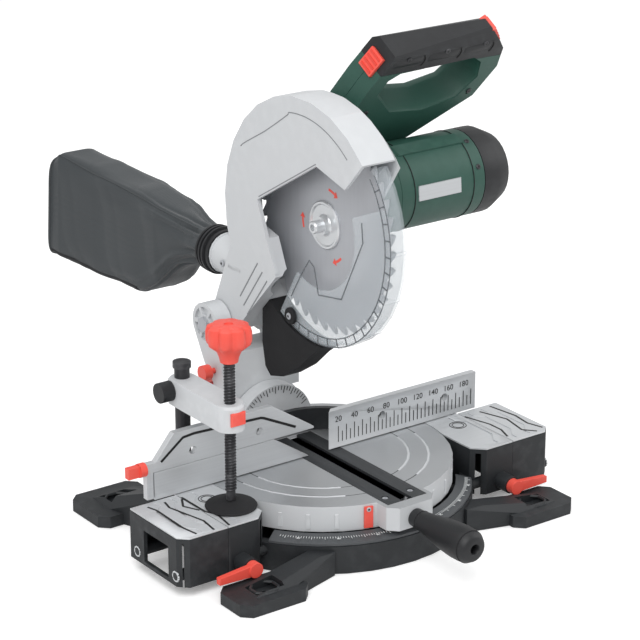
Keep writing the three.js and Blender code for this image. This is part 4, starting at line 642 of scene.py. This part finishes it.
def bag_rings(u):
    """The sack's half width, floor and roof at shares of its length, read from a table; the floor is
    smoothed by an even mean of thirteen neighbours."""
    share, half, low, high = BAG_SHARES
    low = np.interp(u, share, BAG_FLOOR + BAG_HEIGHT * low)
    low = np.convolve(np.pad(low, 6, mode="edge"), np.ones(13) / 13, "valid")
    high = np.interp(u, share, BAG_FLOOR + BAG_HEIGHT * high)
    return np.interp(u, share, half * BAG_HALF_WIDTH) - 1.2, low, high


def bag_folds(u, turn):
    """How far the cloth goes out: folds that fan out from the neck and fade, and slow slanting creases,
    both made of sines of the angle and the length, less the room they need to stay in the bag's solid.
    All settles to nothing at the two ends."""
    fan = np.exp(-4.2 * u) * (np.sin(turn * 13 + 2 * u) * 1.7 + np.sin(turn * 21 - 5 * u) * 0.9)
    crease = (np.sin(3 * turn + 9 * u) * np.sin(14 * u + 1.3) * 0.8 + np.sin(turn * 5 - 17 * u) * 0.5
              + np.maximum(np.sin(turn * 2 + 23 * u + 0.6), 0.55) * 1.1)
    settle = np.clip(np.minimum(u / 0.05, (1 - u) / 0.02), 0, 1)
    return (fan + crease - BAG_FOLD_ROOM) * settle


def bag_points():
    """A lofted sack. Each ring is a box with rounded corners, squarer away from the neck: the sine and
    cosine of the angle to a power that falls with the length. The top of its end leans to the neck."""
    u = np.linspace(0, 1, BAG_ROWS)
    half, low, high = (row[:, None] for row in bag_rings(u))
    u, turn = u[:, None], full_turn(BAG_COLUMNS)[None, :]
    box = 1 - 0.62 * np.clip(u / 0.3, 0, 1)
    flat_x, flat_z = (np.sign(wave) * np.abs(wave) ** box for wave in (np.cos(turn), np.sin(turn)))
    depth = bag_folds(u, turn)
    lean = BAG_LEAN * np.clip((u - 0.75) / 0.25, 0, 1) ** 2
    x = PORT[0] - BAG_DRIFT * u ** 2 + (half + depth) * flat_x
    y = BAG_START + BAG_LENGTH * u - lean * (0.5 + 0.5 * flat_z) * (1 - np.clip(flat_z, -1, 1) * 0.3)
    z = (high + low) / 2 + ((high - low) / 2 + depth - 0.8) * flat_z
    return np.stack([x, y, z], -1)


def dust_bag():
    """The sewn sack with its seams: the lofted cloth, a thin tube along its top and round its end, and
    the rod that closes it."""
    points = bag_points()
    mesh = mesh_of("dust_bag_cloth", net(points, wrap=True, closed=True), CLOTH_SHARP)
    uv = mesh.uv_layers.new(name="cloth")
    corner = np.zeros(len(mesh.loops), int)
    mesh.loops.foreach_get("vertex_index", corner)
    row, column = np.divmod(np.minimum(corner, BAG_ROWS * BAG_COLUMNS - 1), BAG_COLUMNS)
    places = np.stack([column / BAG_COLUMNS, row / BAG_ROWS], -1)
    uv.data.foreach_set("uv", places.astype(np.float32).ravel())
    show("dust_bag_cloth", mesh, "head", "bag_cloth", None, ("dust_bag",))
    seam = points[8:BAG_ROWS - 2, int(BAG_COLUMNS * 0.34), :] + [-0.1, 0, 0.3]
    piece("dust_bag_top_seam", tube(seam, 0.8, 8), "head", "bag_cloth")
    closure = points[int(BAG_ROWS * 0.44):BAG_ROWS - 1, int(BAG_COLUMNS * 0.64), :] + [0.4, 0, 0.4]
    piece("dust_bag_closure", tube(closure, 2.6, 10), "head", "black_plastic")
    end = points[BAG_ROWS - 2]
    end_seam = np.vstack([end, end[:2]]) + [0, -0.2, 0]
    piece("dust_bag_end_seam", tube(end_seam, 0.8, 8, False), "head", "bag_cloth")


def bag_collar():
    """A ribbed sleeve: a lathe whose radius steps out at three rings."""
    sleeve = lathe(COLLAR_PROFILE, (PORT[0], COLLAR_START, PORT[1]), Y, 64, closed=False)
    piece("bag_collar_rings", sleeve, "head", "black_plastic", None, ("bag_collar",))


# Blade, flange and guards
TIP_OUTLINE = [(-1.0, -2.4), (1.2, -2.4), (0.6, 2.4), (-1.0, 2.4)]
TIP_INSET, TIP_WIDTH = 3.2, 2.2
ARROW_MIDDLES, ARROW_RADIUS = (187, 71, 302), 37
GUARD_RUNG, GUARD_RIMS = np.linspace(109, 117, 4), (109.0, 117.2)
GUARD_OPENING = [(33, 218), (18, 242), (3, 263), (-5, 258), (-12, 232), (-49, 238), (-82, 303), (-80, 322)]
HOOD_SEAM = [(93, 359), (88, 363), (50, 384), (13, 408)]
WINDOW_SEAM = [(63, 315), (10, 346), (-31, 370)]
ARM_GROOVES = [((66, 246), (97, 203)), ((58, 239), (91, 195)), ((50, 232), (85, 187))]
FLANGE_PROFILE = [(0.1, 0), (24, 0), (24, 1.4), (22.8, 2.4), (21, 2.4), (19.6, 1.2), (11, 1.0), (9.6, 3),
                  (9, 6.4), (0.1, 6.4)]
BOLT_PROFILE = [(0.1, 6), (6.4, 6), (6.4, 14.4), (5.4, 15.6), (3.4, 15.6), (3, 12), (0.1, 12)]
BOSS_PROFILE = [(0.1, 0), (8.5, 0), (8.5, 2.6), (7.5, 3.4), (0.1, 3.4)]
BOSS_SPOT = (30, 199)


def blade_details():
    """Carbide tips at even angles round the rim, and three arrows that show which way the blade turns:
    bands along a circle, each with a flat point."""
    tips = []
    for k in range(BLADE_TEETH):
        angle = 2 * math.pi * k / BLADE_TEETH
        radial = np.array([0, -math.cos(angle), math.sin(angle)])
        ahead = np.array([0, math.sin(angle), math.cos(angle)])
        centre = np.array([0, *BLADE_CENTRE]) + radial * (BLADE_RADIUS - TIP_INSET)
        tips.append(slab(TIP_OUTLINE, centre - TIP_WIDTH / 2 * X, ahead, radial, TIP_WIDTH))
    piece("saw_blade_tips", pile(*tips), "blade", "steel", carbide)
    arrows = []
    for middle in ARROW_MIDDLES:
        sweep = np.linspace(middle + 11, middle - 5, 14)
        arrows.append(strip(around(BLADE_CENTRE, ARROW_RADIUS, sweep, BLADE_FACE), 2.6, -X, 0.12))
        corners = around(BLADE_CENTRE, ARROW_RADIUS + np.array([0, -4, 4]),
                         middle - np.array([13.0, 5.0, 5.0]), BLADE_FACE)
        arrows.append((corners - 0.12 * X, [[0, 1, 2]]))
    piece("saw_blade_arrows", pile(*arrows), "blade", "red_plastic")


def guard_details():
    """Rungs across the clear guard's outer band at even angles, two rims along it, and the bent edge of
    the opening in its side: all thin tubes."""
    rungs = []
    for degrees in np.arange(-112, 38, 8.0):
        rung = around(BLADE_CENTRE, GUARD_RUNG, np.full(len(GUARD_RUNG), degrees), GUARD_SIDE)
        rungs.append(tube(rung, 0.7, 6))
    sweep = np.linspace(-117, 39, 70)
    rims = [tube(around(BLADE_CENTRE, radius, sweep, GUARD_SIDE + 0.1), 0.6, 6) for radius in GUARD_RIMS]
    edge = resampled(GUARD_OPENING, 120)
    line = np.column_stack([np.full(len(edge), GUARD_SIDE), edge])
    surfaces = {"rungs": pile(*rungs), "rims": pile(*rims), "opening_edge": tube(line, 0.6, 6)}
    for name, surface in surfaces.items():
        piece(f"lower_guard_{name}", surface, "lower_guard", "clear_plastic", smoked_edge)


def hood_details():
    """Painted shade for the seams on the hood's flat side, each along a line of places or round the blade's
    centre, and for the grooves that run down its arm: grey strips standing a little proud of the surface."""
    def on_side(places):
        return np.column_stack([np.full(len(places), HOOD_SIDE), places])

    rim = around(BLADE_CENTRE, 113, np.linspace(100, 50, 20), HOOD_SIDE)[:, 1:]
    for name, places in (("head_seam_shade", [*HOOD_SEAM, *rim]), ("head_window_seam_shade", WINDOW_SEAM)):
        # Painted shade: grey strips where the seams' and grooves' shade falls.
        piece(name, strip(on_side(resampled(places, 60)), 0.9, -X, 0.15), "head", "dark_casting", seam_shade_grey)
    groove_shades = [strip(on_side(resampled(ends, 3)), 1.3, -X, 0.2) for ends in ARM_GROOVES]
    piece("head_arm_groove_shades", pile(*groove_shades), "head", "dark_casting", seam_shade_grey)


def flange_details():
    """The bright flange and the bolt in its middle: two lathes about the blade's axis."""
    centre = (-1.2, *BLADE_CENTRE)
    flange, bolt = lathe(FLANGE_PROFILE, centre, -X, 72), lathe(BOLT_PROFILE, centre, -X, 40)
    piece("outer_flange_disc", flange, "blade", "steel", flange_shine, ("outer_flange",))
    piece("blade_bolt_head", bolt, "blade", "dark_steel", flange_shine, ("blade_bolt",))


def small_screws():
    """The chip deflector's boss, a short lathe, and the screws of that boss, the dust port and the
    mitre pointer."""
    piece("chip_deflector_boss", lathe(BOSS_PROFILE, (-14.8, *BOSS_SPOT), -X, 32), "head", "rubber")
    screws("deflector_screw", [((-18.1, *BOSS_SPOT), -X)], "head", "steel", 3.4)
    screws("dust_port_screw", [((PORT[0] - 21.0, 130, PORT[1] - 1), -X)], "head", "steel", 3.4)
    out, _ = spoke(-16.5)
    screws("pointer_screw", [(out * (TABLE_RADIUS + 1.4) + 55 * Z, out)], "turntable", "steel", 2.6)


# Motor and handle
BRUSH_CAP_PROFILE = [(0.1, 0), (6, 0), (6, 2.2), (5, 3), (0.1, 3)]
GRIP_PANELS = ((46, 82), (87, 125), (130, 164))
GRIP_PANEL_RISE = 0.035
OPENING_SHARES = np.array([(0.145, 0.62), (0.18, 0.74), (0.25, 0.79), (0.78, 0.815), (0.85, 0.76),
                           (0.88, 0.62), (0.78, 0.46), (0.55, 0.4), (0.3, 0.44)])
OPENING_WALL = [(1.05, -2.0), (1.0, -1.2), (0.97, -4.0), (0.95, -20.0), (0.84, -26.0), (0.82, -31.0),
                (0.88, -34.0), (1.05, -34.4)]
HANDLE_SCREWS = ((64, 64), (109, 67), (155, 68), (163, 3.5), (39, -0.3))


def motor_panel(degrees, start, end, tall, rise, chamfer):
    """A flat slab laid against the motor's round side at an angle from the front."""
    angle = math.radians(degrees)
    out = np.array([0, -math.cos(angle), math.sin(angle)])
    up = np.cross(out, X)
    up = up if up[2] > 0 else -up
    along = X if np.dot(np.cross(X, up), out) > 0 else -X
    seat = MOTOR_RADIUS * math.cos(math.radians(7)) - 0.4
    middle = np.array([(start + end) / 2, *MOTOR_CENTRE]) + out * seat
    return slab(oblong((end - start) / 2, tall / 2), middle, along, up, rise, chamfer)


def motor_details():
    """A ledge and a bare plate on the motor's front, seams, screws, the small cap of its brush, and the
    spokes on its end cap: slabs, thin tubes and lathes."""
    piece("motor_plate", motor_panel(4, 70, 122, 15, 1.2, 0.6), "head", "brushed_aluminium", bare_plate)
    piece("motor_ledge", motor_panel(68, 60, 140, 15, 2.0, 1.4), "head", "green_plastic")
    seams = [tube(ring_path((x, *MOTOR_CENTRE), 43.2, X, steps=64), 0.5, 6) for x in (66, 138)]
    piece("motor_seams", pile(*seams), "head", "rubber", print_and_shade_black)
    places = [(around(MOTOR_CENTRE, 42.8, np.array(degrees), 145), around((0, 0), 1, np.array(degrees), 0))
              for degrees in (22, 60)]
    screws("motor_screws", places, "head", "dark_steel", 2.6)
    cap = lathe(BRUSH_CAP_PROFILE, (185.6, MOTOR_CENTRE[0] - 15, MOTOR_CENTRE[1] + 5), X, 24)
    piece("motor_brush_cap", cap, "head", "black_plastic")
    radius = np.linspace(14, 31, 5)
    ribs = [tube(around(MOTOR_CENTRE, radius, np.full(5, degrees), 188.0 - (radius - 16) * 0.12), 0.9, 6)
            for degrees in np.arange(0, 360, 30.0)]
    piece("motor_cap_ribs", pile(*ribs), "head", "black_plastic")


def handle_details():
    """Three bulged panels on the grip cover, a product of two sines to a power, with a near-black curved tube
    beside each as painted shade for its groove, the wall round the finger opening with its inner lip, and the
    handle's screws."""
    panels, groove_shades = [], []
    first = GRIP_PANELS[0][0]
    u, v = np.meshgrid(np.linspace(0, 1, 25), np.linspace(0, 1, 13), indexing="ij")
    bulge = 1.7 * (np.sin(np.pi * u) * np.sin(np.pi * v)) ** 0.6
    bow = np.linspace(-1, 1, 12)
    for start, end in GRIP_PANELS:
        x = start + (end - start) * u
        panels.append(net(on_handle(x, 55.0 + 10 * v + (x - first) * GRIP_PANEL_RISE, bulge - 0.25)))
        up = 58.5 + 6.5 * bow + (end - first) * GRIP_PANEL_RISE
        groove_shades.append(tube(on_handle(end + 2.5 - 2.5 * bow ** 2, up, 0.0 * bow), 0.8, 6))
    piece("grip_cover_panels", pile(*panels), "head", "black_plastic")
    # Painted shade: near-black tubes beside the panels stand for the shade in their grooves.
    piece("grip_cover_groove_shades", pile(*groove_shades), "head", "rubber", print_and_shade_black)
    rim = [HANDLE_LEFT, HANDLE_FOOT] + OPENING_SHARES * [HANDLE_WIDTH, HANDLE_TALL]
    middle = rim.mean(0)
    wall = np.stack([on_handle(*(middle + (rim - middle) * grow).T, out) for grow, out in OPENING_WALL])
    wall = net(np.vstack([wall, wall[:1]]), wrap=True)
    piece("handle_opening_wall", wall, "head", "green_plastic", sharp=ROUND_SHARP)
    places = [(on_handle(x, w, 0.1), HANDLE_FRONT) for x, w in HANDLE_SCREWS]
    screws("handle_screws", places, "head", "dark_steel", 2.9)


def red_buttons():
    """Ridges across each red button: slabs laid side by side on the button's widest face."""
    for word, toward in (("left", -1), ("right", 1)):
        mesh = frame["nodes"]["lock_button_" + word].data
        count = len(mesh.polygons)
        area, normal, centre = np.zeros(count), np.zeros(count * 3), np.zeros(count * 3)
        mesh.polygons.foreach_get("area", area)
        mesh.polygons.foreach_get("normal", normal)
        mesh.polygons.foreach_get("center", centre)
        normal, centre = normal.reshape(-1, 3), centre.reshape(-1, 3) * 1000 + [0, SAW_Y, 0]
        face = np.argmax(area * (normal[:, 0] * toward > 0.3))
        same = area * (np.abs(normal @ normal[face] - 1) < 0.001)
        middle = (centre * same[:, None]).sum(0) / same.sum()
        along = np.cross(HANDLE_FRONT, normal[face])
        along /= np.linalg.norm(along)
        across = np.cross(normal[face], along)
        ridges = [slab(oblong(1.0, 8), middle + along * step, along, across, 0.9, 0.4)
                  for step in (-7.5, -2.5, 2.5, 7.5)]
        piece(f"lock_button_{word}_ridges", pile(*ridges), "lock_button_" + word, "red_plastic", red_ridge)


# Fences and side tables
FENCE_LINE = [(-188, 98), (-163, 117), (-150, 118.2), (-72, 115), (-32, 95.5)]
GRIP_LINES = {
    "left": ([(-171, -8), (-181, -26), (-165, -60), (-169, -86)],
             [(-190, -8), (-193, -21), (-183, -64), (-186, -86)],
             [(-209, -8), (-206, -19), (-207, -66), (-204, -84)]),
    "right": ([(172, -8), (181, -42), (181, -60), (175, -77)],
              [(194, -10), (204, -42), (198, -72), (208, -84)],
              [(212, -5), (217, -40), (214, -62), (219, -80)]),
}
RULER_FOOT, RULER_FIGURES = 66.4, 91.0
WING_RINGS = (6, 8.5)
TUBE_END, TUBE_PLACES = 223.6, (-78, -12)


def ruler():
    """Marks each 5 mm from 20 to 190 mm from the cut, longer each 10, with a plain figure above each
    20, and one dark line that follows the upper edge of the sliding fence."""
    marks, figures = [], []
    for distance in range(20, 191, 5):
        tall = 17.0 if distance % 10 == 0 else 11.0
        marks.append(slab(upright(0.45, 0, tall), (distance, 0.05, RULER_FOOT), X, Z, 0.2))
        if distance % 20 == 0:
            figures.append(digits(str(distance), (distance, -0.2, RULER_FIGURES), X, Z, 8.6))
    piece("fence_right_marks", pile(*marks), "base", "brushed_aluminium", print_and_shade_black)
    piece("fence_right_figures", pile(*figures), "base", "brushed_aluminium", print_and_shade_black)
    line = np.insert(resampled(FENCE_LINE, 60), 1, -0.05, axis=1)
    piece("fence_slide_line", strip(line, 2.6, -Y, 0.15), "fence_slide", "brushed_aluminium", print_and_shade_black)


def grip_strips(word, side):
    """The parts of a side's grip lines that lie on one side of the seam between the two tables."""
    for places in GRIP_LINES[word]:
        path = resampled(places, 90)
        path = np.column_stack([path, np.full(len(path), TABLE_TOP + 0.02)])
        path = path[side * (np.abs(path[:, 0]) - SIDE_TABLE_SEAM) > 0.9]
        if len(path) > 3:
            yield strip(path, 2.2, Z, 0.12)


def table_marks():
    """Three bent grip lines along each side table, two rings on each, and the ends of its tubes."""
    for side, word in ((-1, "left"), (1, "right")):
        for owner, body, kept in (("extension", f"extension_{word}", 1), ("wing", "base", -1)):
            strips = list(grip_strips(word, kept))
            if strips:
                piece(f"{owner}_{word}_grip_lines", pile(*strips), body, "dark_plate", print_and_shade_black)
        spot = (side * 153, -25, TABLE_TOP)
        rings = [tube(ring_path(spot, radius, Z, steps=49), 0.45, 6, False) for radius in WING_RINGS]
        piece(f"wing_ring_{word}", pile(*rings), "base", "dark_plate", print_and_shade_black)
        ends = [tube(ring_path((side * TUBE_END, y, 20), 4.6, X, steps=33), 1.0, 8, False)
                for y in TUBE_PLACES]
        piece(f"extension_{word}_tube_ends", pile(*ends), f"extension_{word}", "silver_casting")


# Turntable, scale, grip and bevel
GRIP_PROFILE = [(0.1, 0), (9, 0), (9.4, 8), (10.6, 18), (12.4, 30), (14.4, 42), (16, 54), (16.8, 65),
                (16.6, 75), (15.2, 82), (13, 86), (10.6, 87.8), (5.4, 88), (4.6, 87), (4.4, 78),
                (0.1, 77.6)]
# Distance from the grip's root, and radius
GRIP_RINGS = ((10, 9.5), (80, 15.7))
# Radius and height of the scale's marks and of its figures
SCALE_MARKS, SCALE_FIGURES = (141.5, 34.7), (146.2, 35.0)
HUB_FACE, HUB_MARK_END = 79.6, 44.5


def scale_marks():
    """A mark at each degree of the scale ring, longer each 5, with plain figures each 15."""
    marks, figures = [], []
    for degrees in range(-52, 53):
        out, across = spoke(degrees)
        tall = 5.4 if degrees % 5 == 0 else 3.2
        place = out * SCALE_MARKS[0] + SCALE_MARKS[1] * Z
        marks.append(slab(upright(0.22, -tall, 0), place, across, -out, 0.25))
        if degrees % 15 == 0:
            place = out * SCALE_FIGURES[0] + SCALE_FIGURES[1] * Z
            figures.append(digits(str(abs(degrees)), place, across, -out, 4.6))
    piece("mitre_scale_marks", pile(*marks), "base", "printed_scale", white_print)
    piece("mitre_scale_figures", pile(*figures), "base", "printed_scale", white_print)


def turntable_details():
    """Shallow ribs down the skirt at even angles, and a bare plate on the front of the base."""
    ribs = []
    for degrees in (*range(-150, -18, 12), *range(20, 151, 12)):
        out, across = spoke(degrees)
        outline = [(-2.2, 37), (2.2, 37), (1.6, 52), (-1.6, 52)]
        ribs.append(slab(outline, out * (TABLE_RADIUS - 0.5), across, Z, 1.0, 0.5))
    piece("turntable_ribs", pile(*ribs), "turntable", "silver_casting")
    out, across = spoke(16)
    plate = slab(upright(11, 8, 20), out * (RING_RADIUS - 0.3), across, Z, 0.9, 0.5)
    piece("base_plate", plate, "base", "brushed_aluminium", bare_plate)


def mitre_grip():
    """A grip that swells from a slim root to a round end with a small hole: a lathe of its radius."""
    body = lathe(GRIP_PROFILE, (0, GRIP_START, GRIP_HEIGHT), -Y, 80)
    piece("mitre_grip_body", body, "mitre_grip", "black_plastic", None, ("mitre_grip",), ROUND_SHARP)
    rings = [tube(ring_path((0, GRIP_START - at, GRIP_HEIGHT), radius, Y, steps=65), 0.6, 6, False)
             for at, radius in GRIP_RINGS]
    piece("mitre_grip_rings", pile(*rings), "mitre_grip", "rubber")


def feet():
    """An octagonal lip round each foot's bolt hole: a thin tube along eight sides."""
    rims = [tube(ring_path((x, y, FOOT_TOP), 13.5, Z, 22.5, 382.5, 9), 1.6, 6, False) for x, y in FOOT_HOLES]
    piece("foot_rims", pile(*rims), "base", "dark_casting")


def bevel_details():
    """Degree marks on the front of the bevel hub, longer each 15."""
    ticks = []
    for degrees in range(-60, 61, 5):
        angle = math.radians(degrees + 180)
        inner = 40 if degrees % 15 else 37
        path = [(radius * math.sin(angle), HUB_FACE, TABLE_TOP - radius * math.cos(angle))
                for radius in (inner, HUB_MARK_END)]
        ticks.append(strip(path, 0.6, -Y, 0.15))
    piece("bevel_hub_marks", pile(*ticks), "turntable", "silver_casting", print_and_shade_black)


def hinge_spring():
    """The torsion spring keeps its CAD shape, smooth along its round wire."""
    refined("torsion_spring", 0.1, None, ROUND_SHARP)


# Work clamp
KNOB_PROFILE = [(0.1, 206), (8.5, 206), (9.5, 211), (12, 217), (17, 221), (20.6, 224), (21.8, 228),
                (21.8, 236), (20.4, 240.5), (16, 242.6), (4.4, 242.9), (4, 241.6), (0.1, 241.4)]
CORE_PROFILE = [(0.1, 67), (4.4, 67), (4.4, 207), (0.1, 207)]
PAD_PROFILE = [(0.1, 60.3), (24.6, 60.3), (25, 61.2), (24, 62.6), (17, 64.2), (11, 66.1), (8.5, 66.25),
               (0.1, 66.25)]
THREAD_TURNS, THREAD_PITCH, THREAD_START, THREAD_RADIUS = 43, 3.0, 76, 4.7


def clamp_knob():
    """The clamp's screw: a smooth core with a thread, a helix of even pitch, and an eight-lobed knob, a
    lathe whose radius waves eight times round, over a tapered neck and with a small hole on top."""
    def lobes(angle, profile):
        share = np.clip((profile[:, :1] - 12) / 8, 0, 1)
        return 1 - 0.15 * share * (0.5 - 0.5 * np.cos(8 * angle)) ** 2

    foot = (*CLAMP_SPINDLE, 0)
    piece("clamp_spindle_core", lathe(CORE_PROFILE, foot, Z, 32), "clamp_spindle", "dark_steel", None,
          ("clamp_spindle",))
    piece("clamp_spindle_knob", lathe(KNOB_PROFILE, foot, Z, 160, lobes), "clamp_spindle", "red_plastic")
    turns = np.linspace(0, 2 * np.pi * THREAD_TURNS, THREAD_TURNS * 22)
    path = np.stack([CLAMP_SPINDLE[0] + THREAD_RADIUS * np.cos(turns),
                     CLAMP_SPINDLE[1] + THREAD_RADIUS * np.sin(turns),
                     THREAD_START + THREAD_PITCH * turns / (2 * np.pi)], -1)
    piece("clamp_spindle_thread", tube(path, 0.9, 6), "clamp_spindle", "dark_steel")


def clamp_details():
    """The clamp's thick rounded arm, a slab with half circles at its ends, the red quick-release in its
    nut block, and the flared pad, a lathe."""
    turn = np.linspace(0, np.pi, 15)
    circle = np.stack([np.cos(turn), np.sin(turn)], -1)
    ends = np.vstack([CLAMP_POST + 13.5 * circle, CLAMP_SPINDLE - 14 * circle])
    arm = slab(ends, (0, 0, 139.5), X, Y, 25.5, 2.4)
    piece("clamp_arm_body", arm, "clamp_arm", "silver_casting", None, ("clamp_arm",))
    button = slab(oblong(8, 6.5), (CLAMP_SPINDLE[0], CLAMP_SPINDLE[1] - 12.8, 153), X, Z, 2.6, 1.2)
    piece("clamp_arm_release", button, "clamp_arm", "red_plastic")
    pad = lathe(PAD_PROFILE, (*CLAMP_SPINDLE, 0), Z, 56)
    piece("clamp_pad_body", pad, "clamp_pad", "rubber", None, ("clamp_pad",))


# The nodes that keep their CAD shape, with their edges rounded
widths = {
    "head_casting": 1.6, "base_casting": 0.9, "motor_housing": 1.2, "motor_cap": 1.4, "gear_housing": 1.0,
    "handle_front": 2.2, "handle_rear": 2.2, "grip_cover": 1.6, "turntable": 0.6, "bevel_bracket": 0.9,
    "saw_blade": 0.1, "extension_left": 0.8, "extension_right": 0.8, "extension_lock_left": 0.8,
    "extension_lock_right": 0.8, "fence_carrier": 0.7, "lower_guard": 0.3, "mitre_scale": 0.2,
    "trigger": 1.0, "mitre_pointer": 0.3, "lock_button_left": 0.7, "lock_button_right": 0.7,
    "bevel_lever": 0.9, "stator": 0.2, "armature": 0.2,
}
own_surface = {"dust_bag", "bag_collar", "mitre_grip", "torsion_spring", "clamp_spindle", "clamp_arm",
               "clamp_pad", "outer_flange", "blade_bolt"}
own_finish = {"turntable": turntable_finish}

for name in sorted(frame["nodes"]):
    if name not in own_surface:
        refined(name, widths.get(name, 0.4), own_finish.get(name))

for make in (dust_bag, bag_collar, blade_details, guard_details, hood_details, motor_details, handle_details,
             ruler, table_marks, scale_marks, turntable_details, mitre_grip, feet, bevel_details, clamp_knob,
             clamp_details, flange_details, small_screws, red_buttons, hinge_spring):
    make()


# Floor, light and camera
LIGHTS = (("key", (-1.3, -1.2, 2.0), 1.8, 34), ("right", (1.9, -0.9, 1.4), 1.6, 14),
          ("above", (0.2, 0.3, 2.4), 2.2, 10))
LIT_SPOT = Vector((0, 0, 0.2))
CAMERA_PLACE, CAMERA_TARGET = (-1.2942, -1.8533, 1.0086), Vector((-0.00254, -0.08115, 0.2005))
CAMERA_LENS, CAMERA_SENSOR = 135.47, 36
FLOOR_REACH, FLOOR_DROP = 9.0, 0.0004


def facing(place, target):
    return (target - Vector(place)).to_track_quat("-Z", "Y").to_euler()


def floor_piece():
    """A pale floor that keeps the shadow, and is brighter to the camera than to the light it throws."""
    mesh = bpy.data.meshes.new("floor")
    reach = FLOOR_REACH
    corners = [(-reach, -reach), (reach, -reach), (reach, reach), (-reach, reach)]
    mesh.from_pydata([(x, y, -FLOOR_DROP) for x, y in corners], [], [(0, 1, 2, 3)])
    material, tree, shader = blank_finish("floor")
    seen = add(tree, "ShaderNodeLightPath").outputs["Is Camera Ray"]
    tree.links.new(mixed(tree, seen, (0.8, 0.8, 0.8, 1), WHITE), shader.inputs["Base Color"])
    tree.links.new(mixed(tree, seen, (0, 0, 0, 1), WHITE), shader.inputs["Emission Color"])
    shader.inputs["Roughness"].default_value = 0.9
    shader.inputs["Specular IOR Level"].default_value = 0.0
    shader.inputs["Emission Strength"].default_value = 0.2
    mesh.materials.append(material)
    return bpy.data.objects.new("floor", mesh)


def lamp_piece(label, place, size, power):
    light = bpy.data.lights.new(label, "AREA")
    light.size = size
    light.energy = power
    lamp = bpy.data.objects.new(label, light)
    lamp.location = place
    lamp.rotation_euler = facing(place, LIT_SPOT)
    return lamp


def studio():
    """The floor, soft light from above, and the camera of the photograph."""
    scene = bpy.context.scene
    world = bpy.data.worlds.new("studio")
    world.use_nodes = True
    world.node_tree.nodes["Background"].inputs["Color"].default_value = WHITE
    world.node_tree.nodes["Background"].inputs["Strength"].default_value = 0.66
    scene.world = world

    staged = [floor_piece(), *(lamp_piece(*row) for row in LIGHTS)]
    camera = bpy.data.objects.new("camera", bpy.data.cameras.new("camera"))
    for obj in (*staged, camera):
        scene.collection.objects.link(obj)
    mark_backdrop(*staged)

    camera.location = CAMERA_PLACE
    camera.rotation_euler = facing(CAMERA_PLACE, CAMERA_TARGET)
    camera.data.lens = CAMERA_LENS
    camera.data.sensor_width = CAMERA_SENSOR
    scene.camera = camera
    scene.view_settings.view_transform = "Standard"


studio()

[[list(map(float, corner)) for corner in box] for box in (cad_box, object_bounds())]
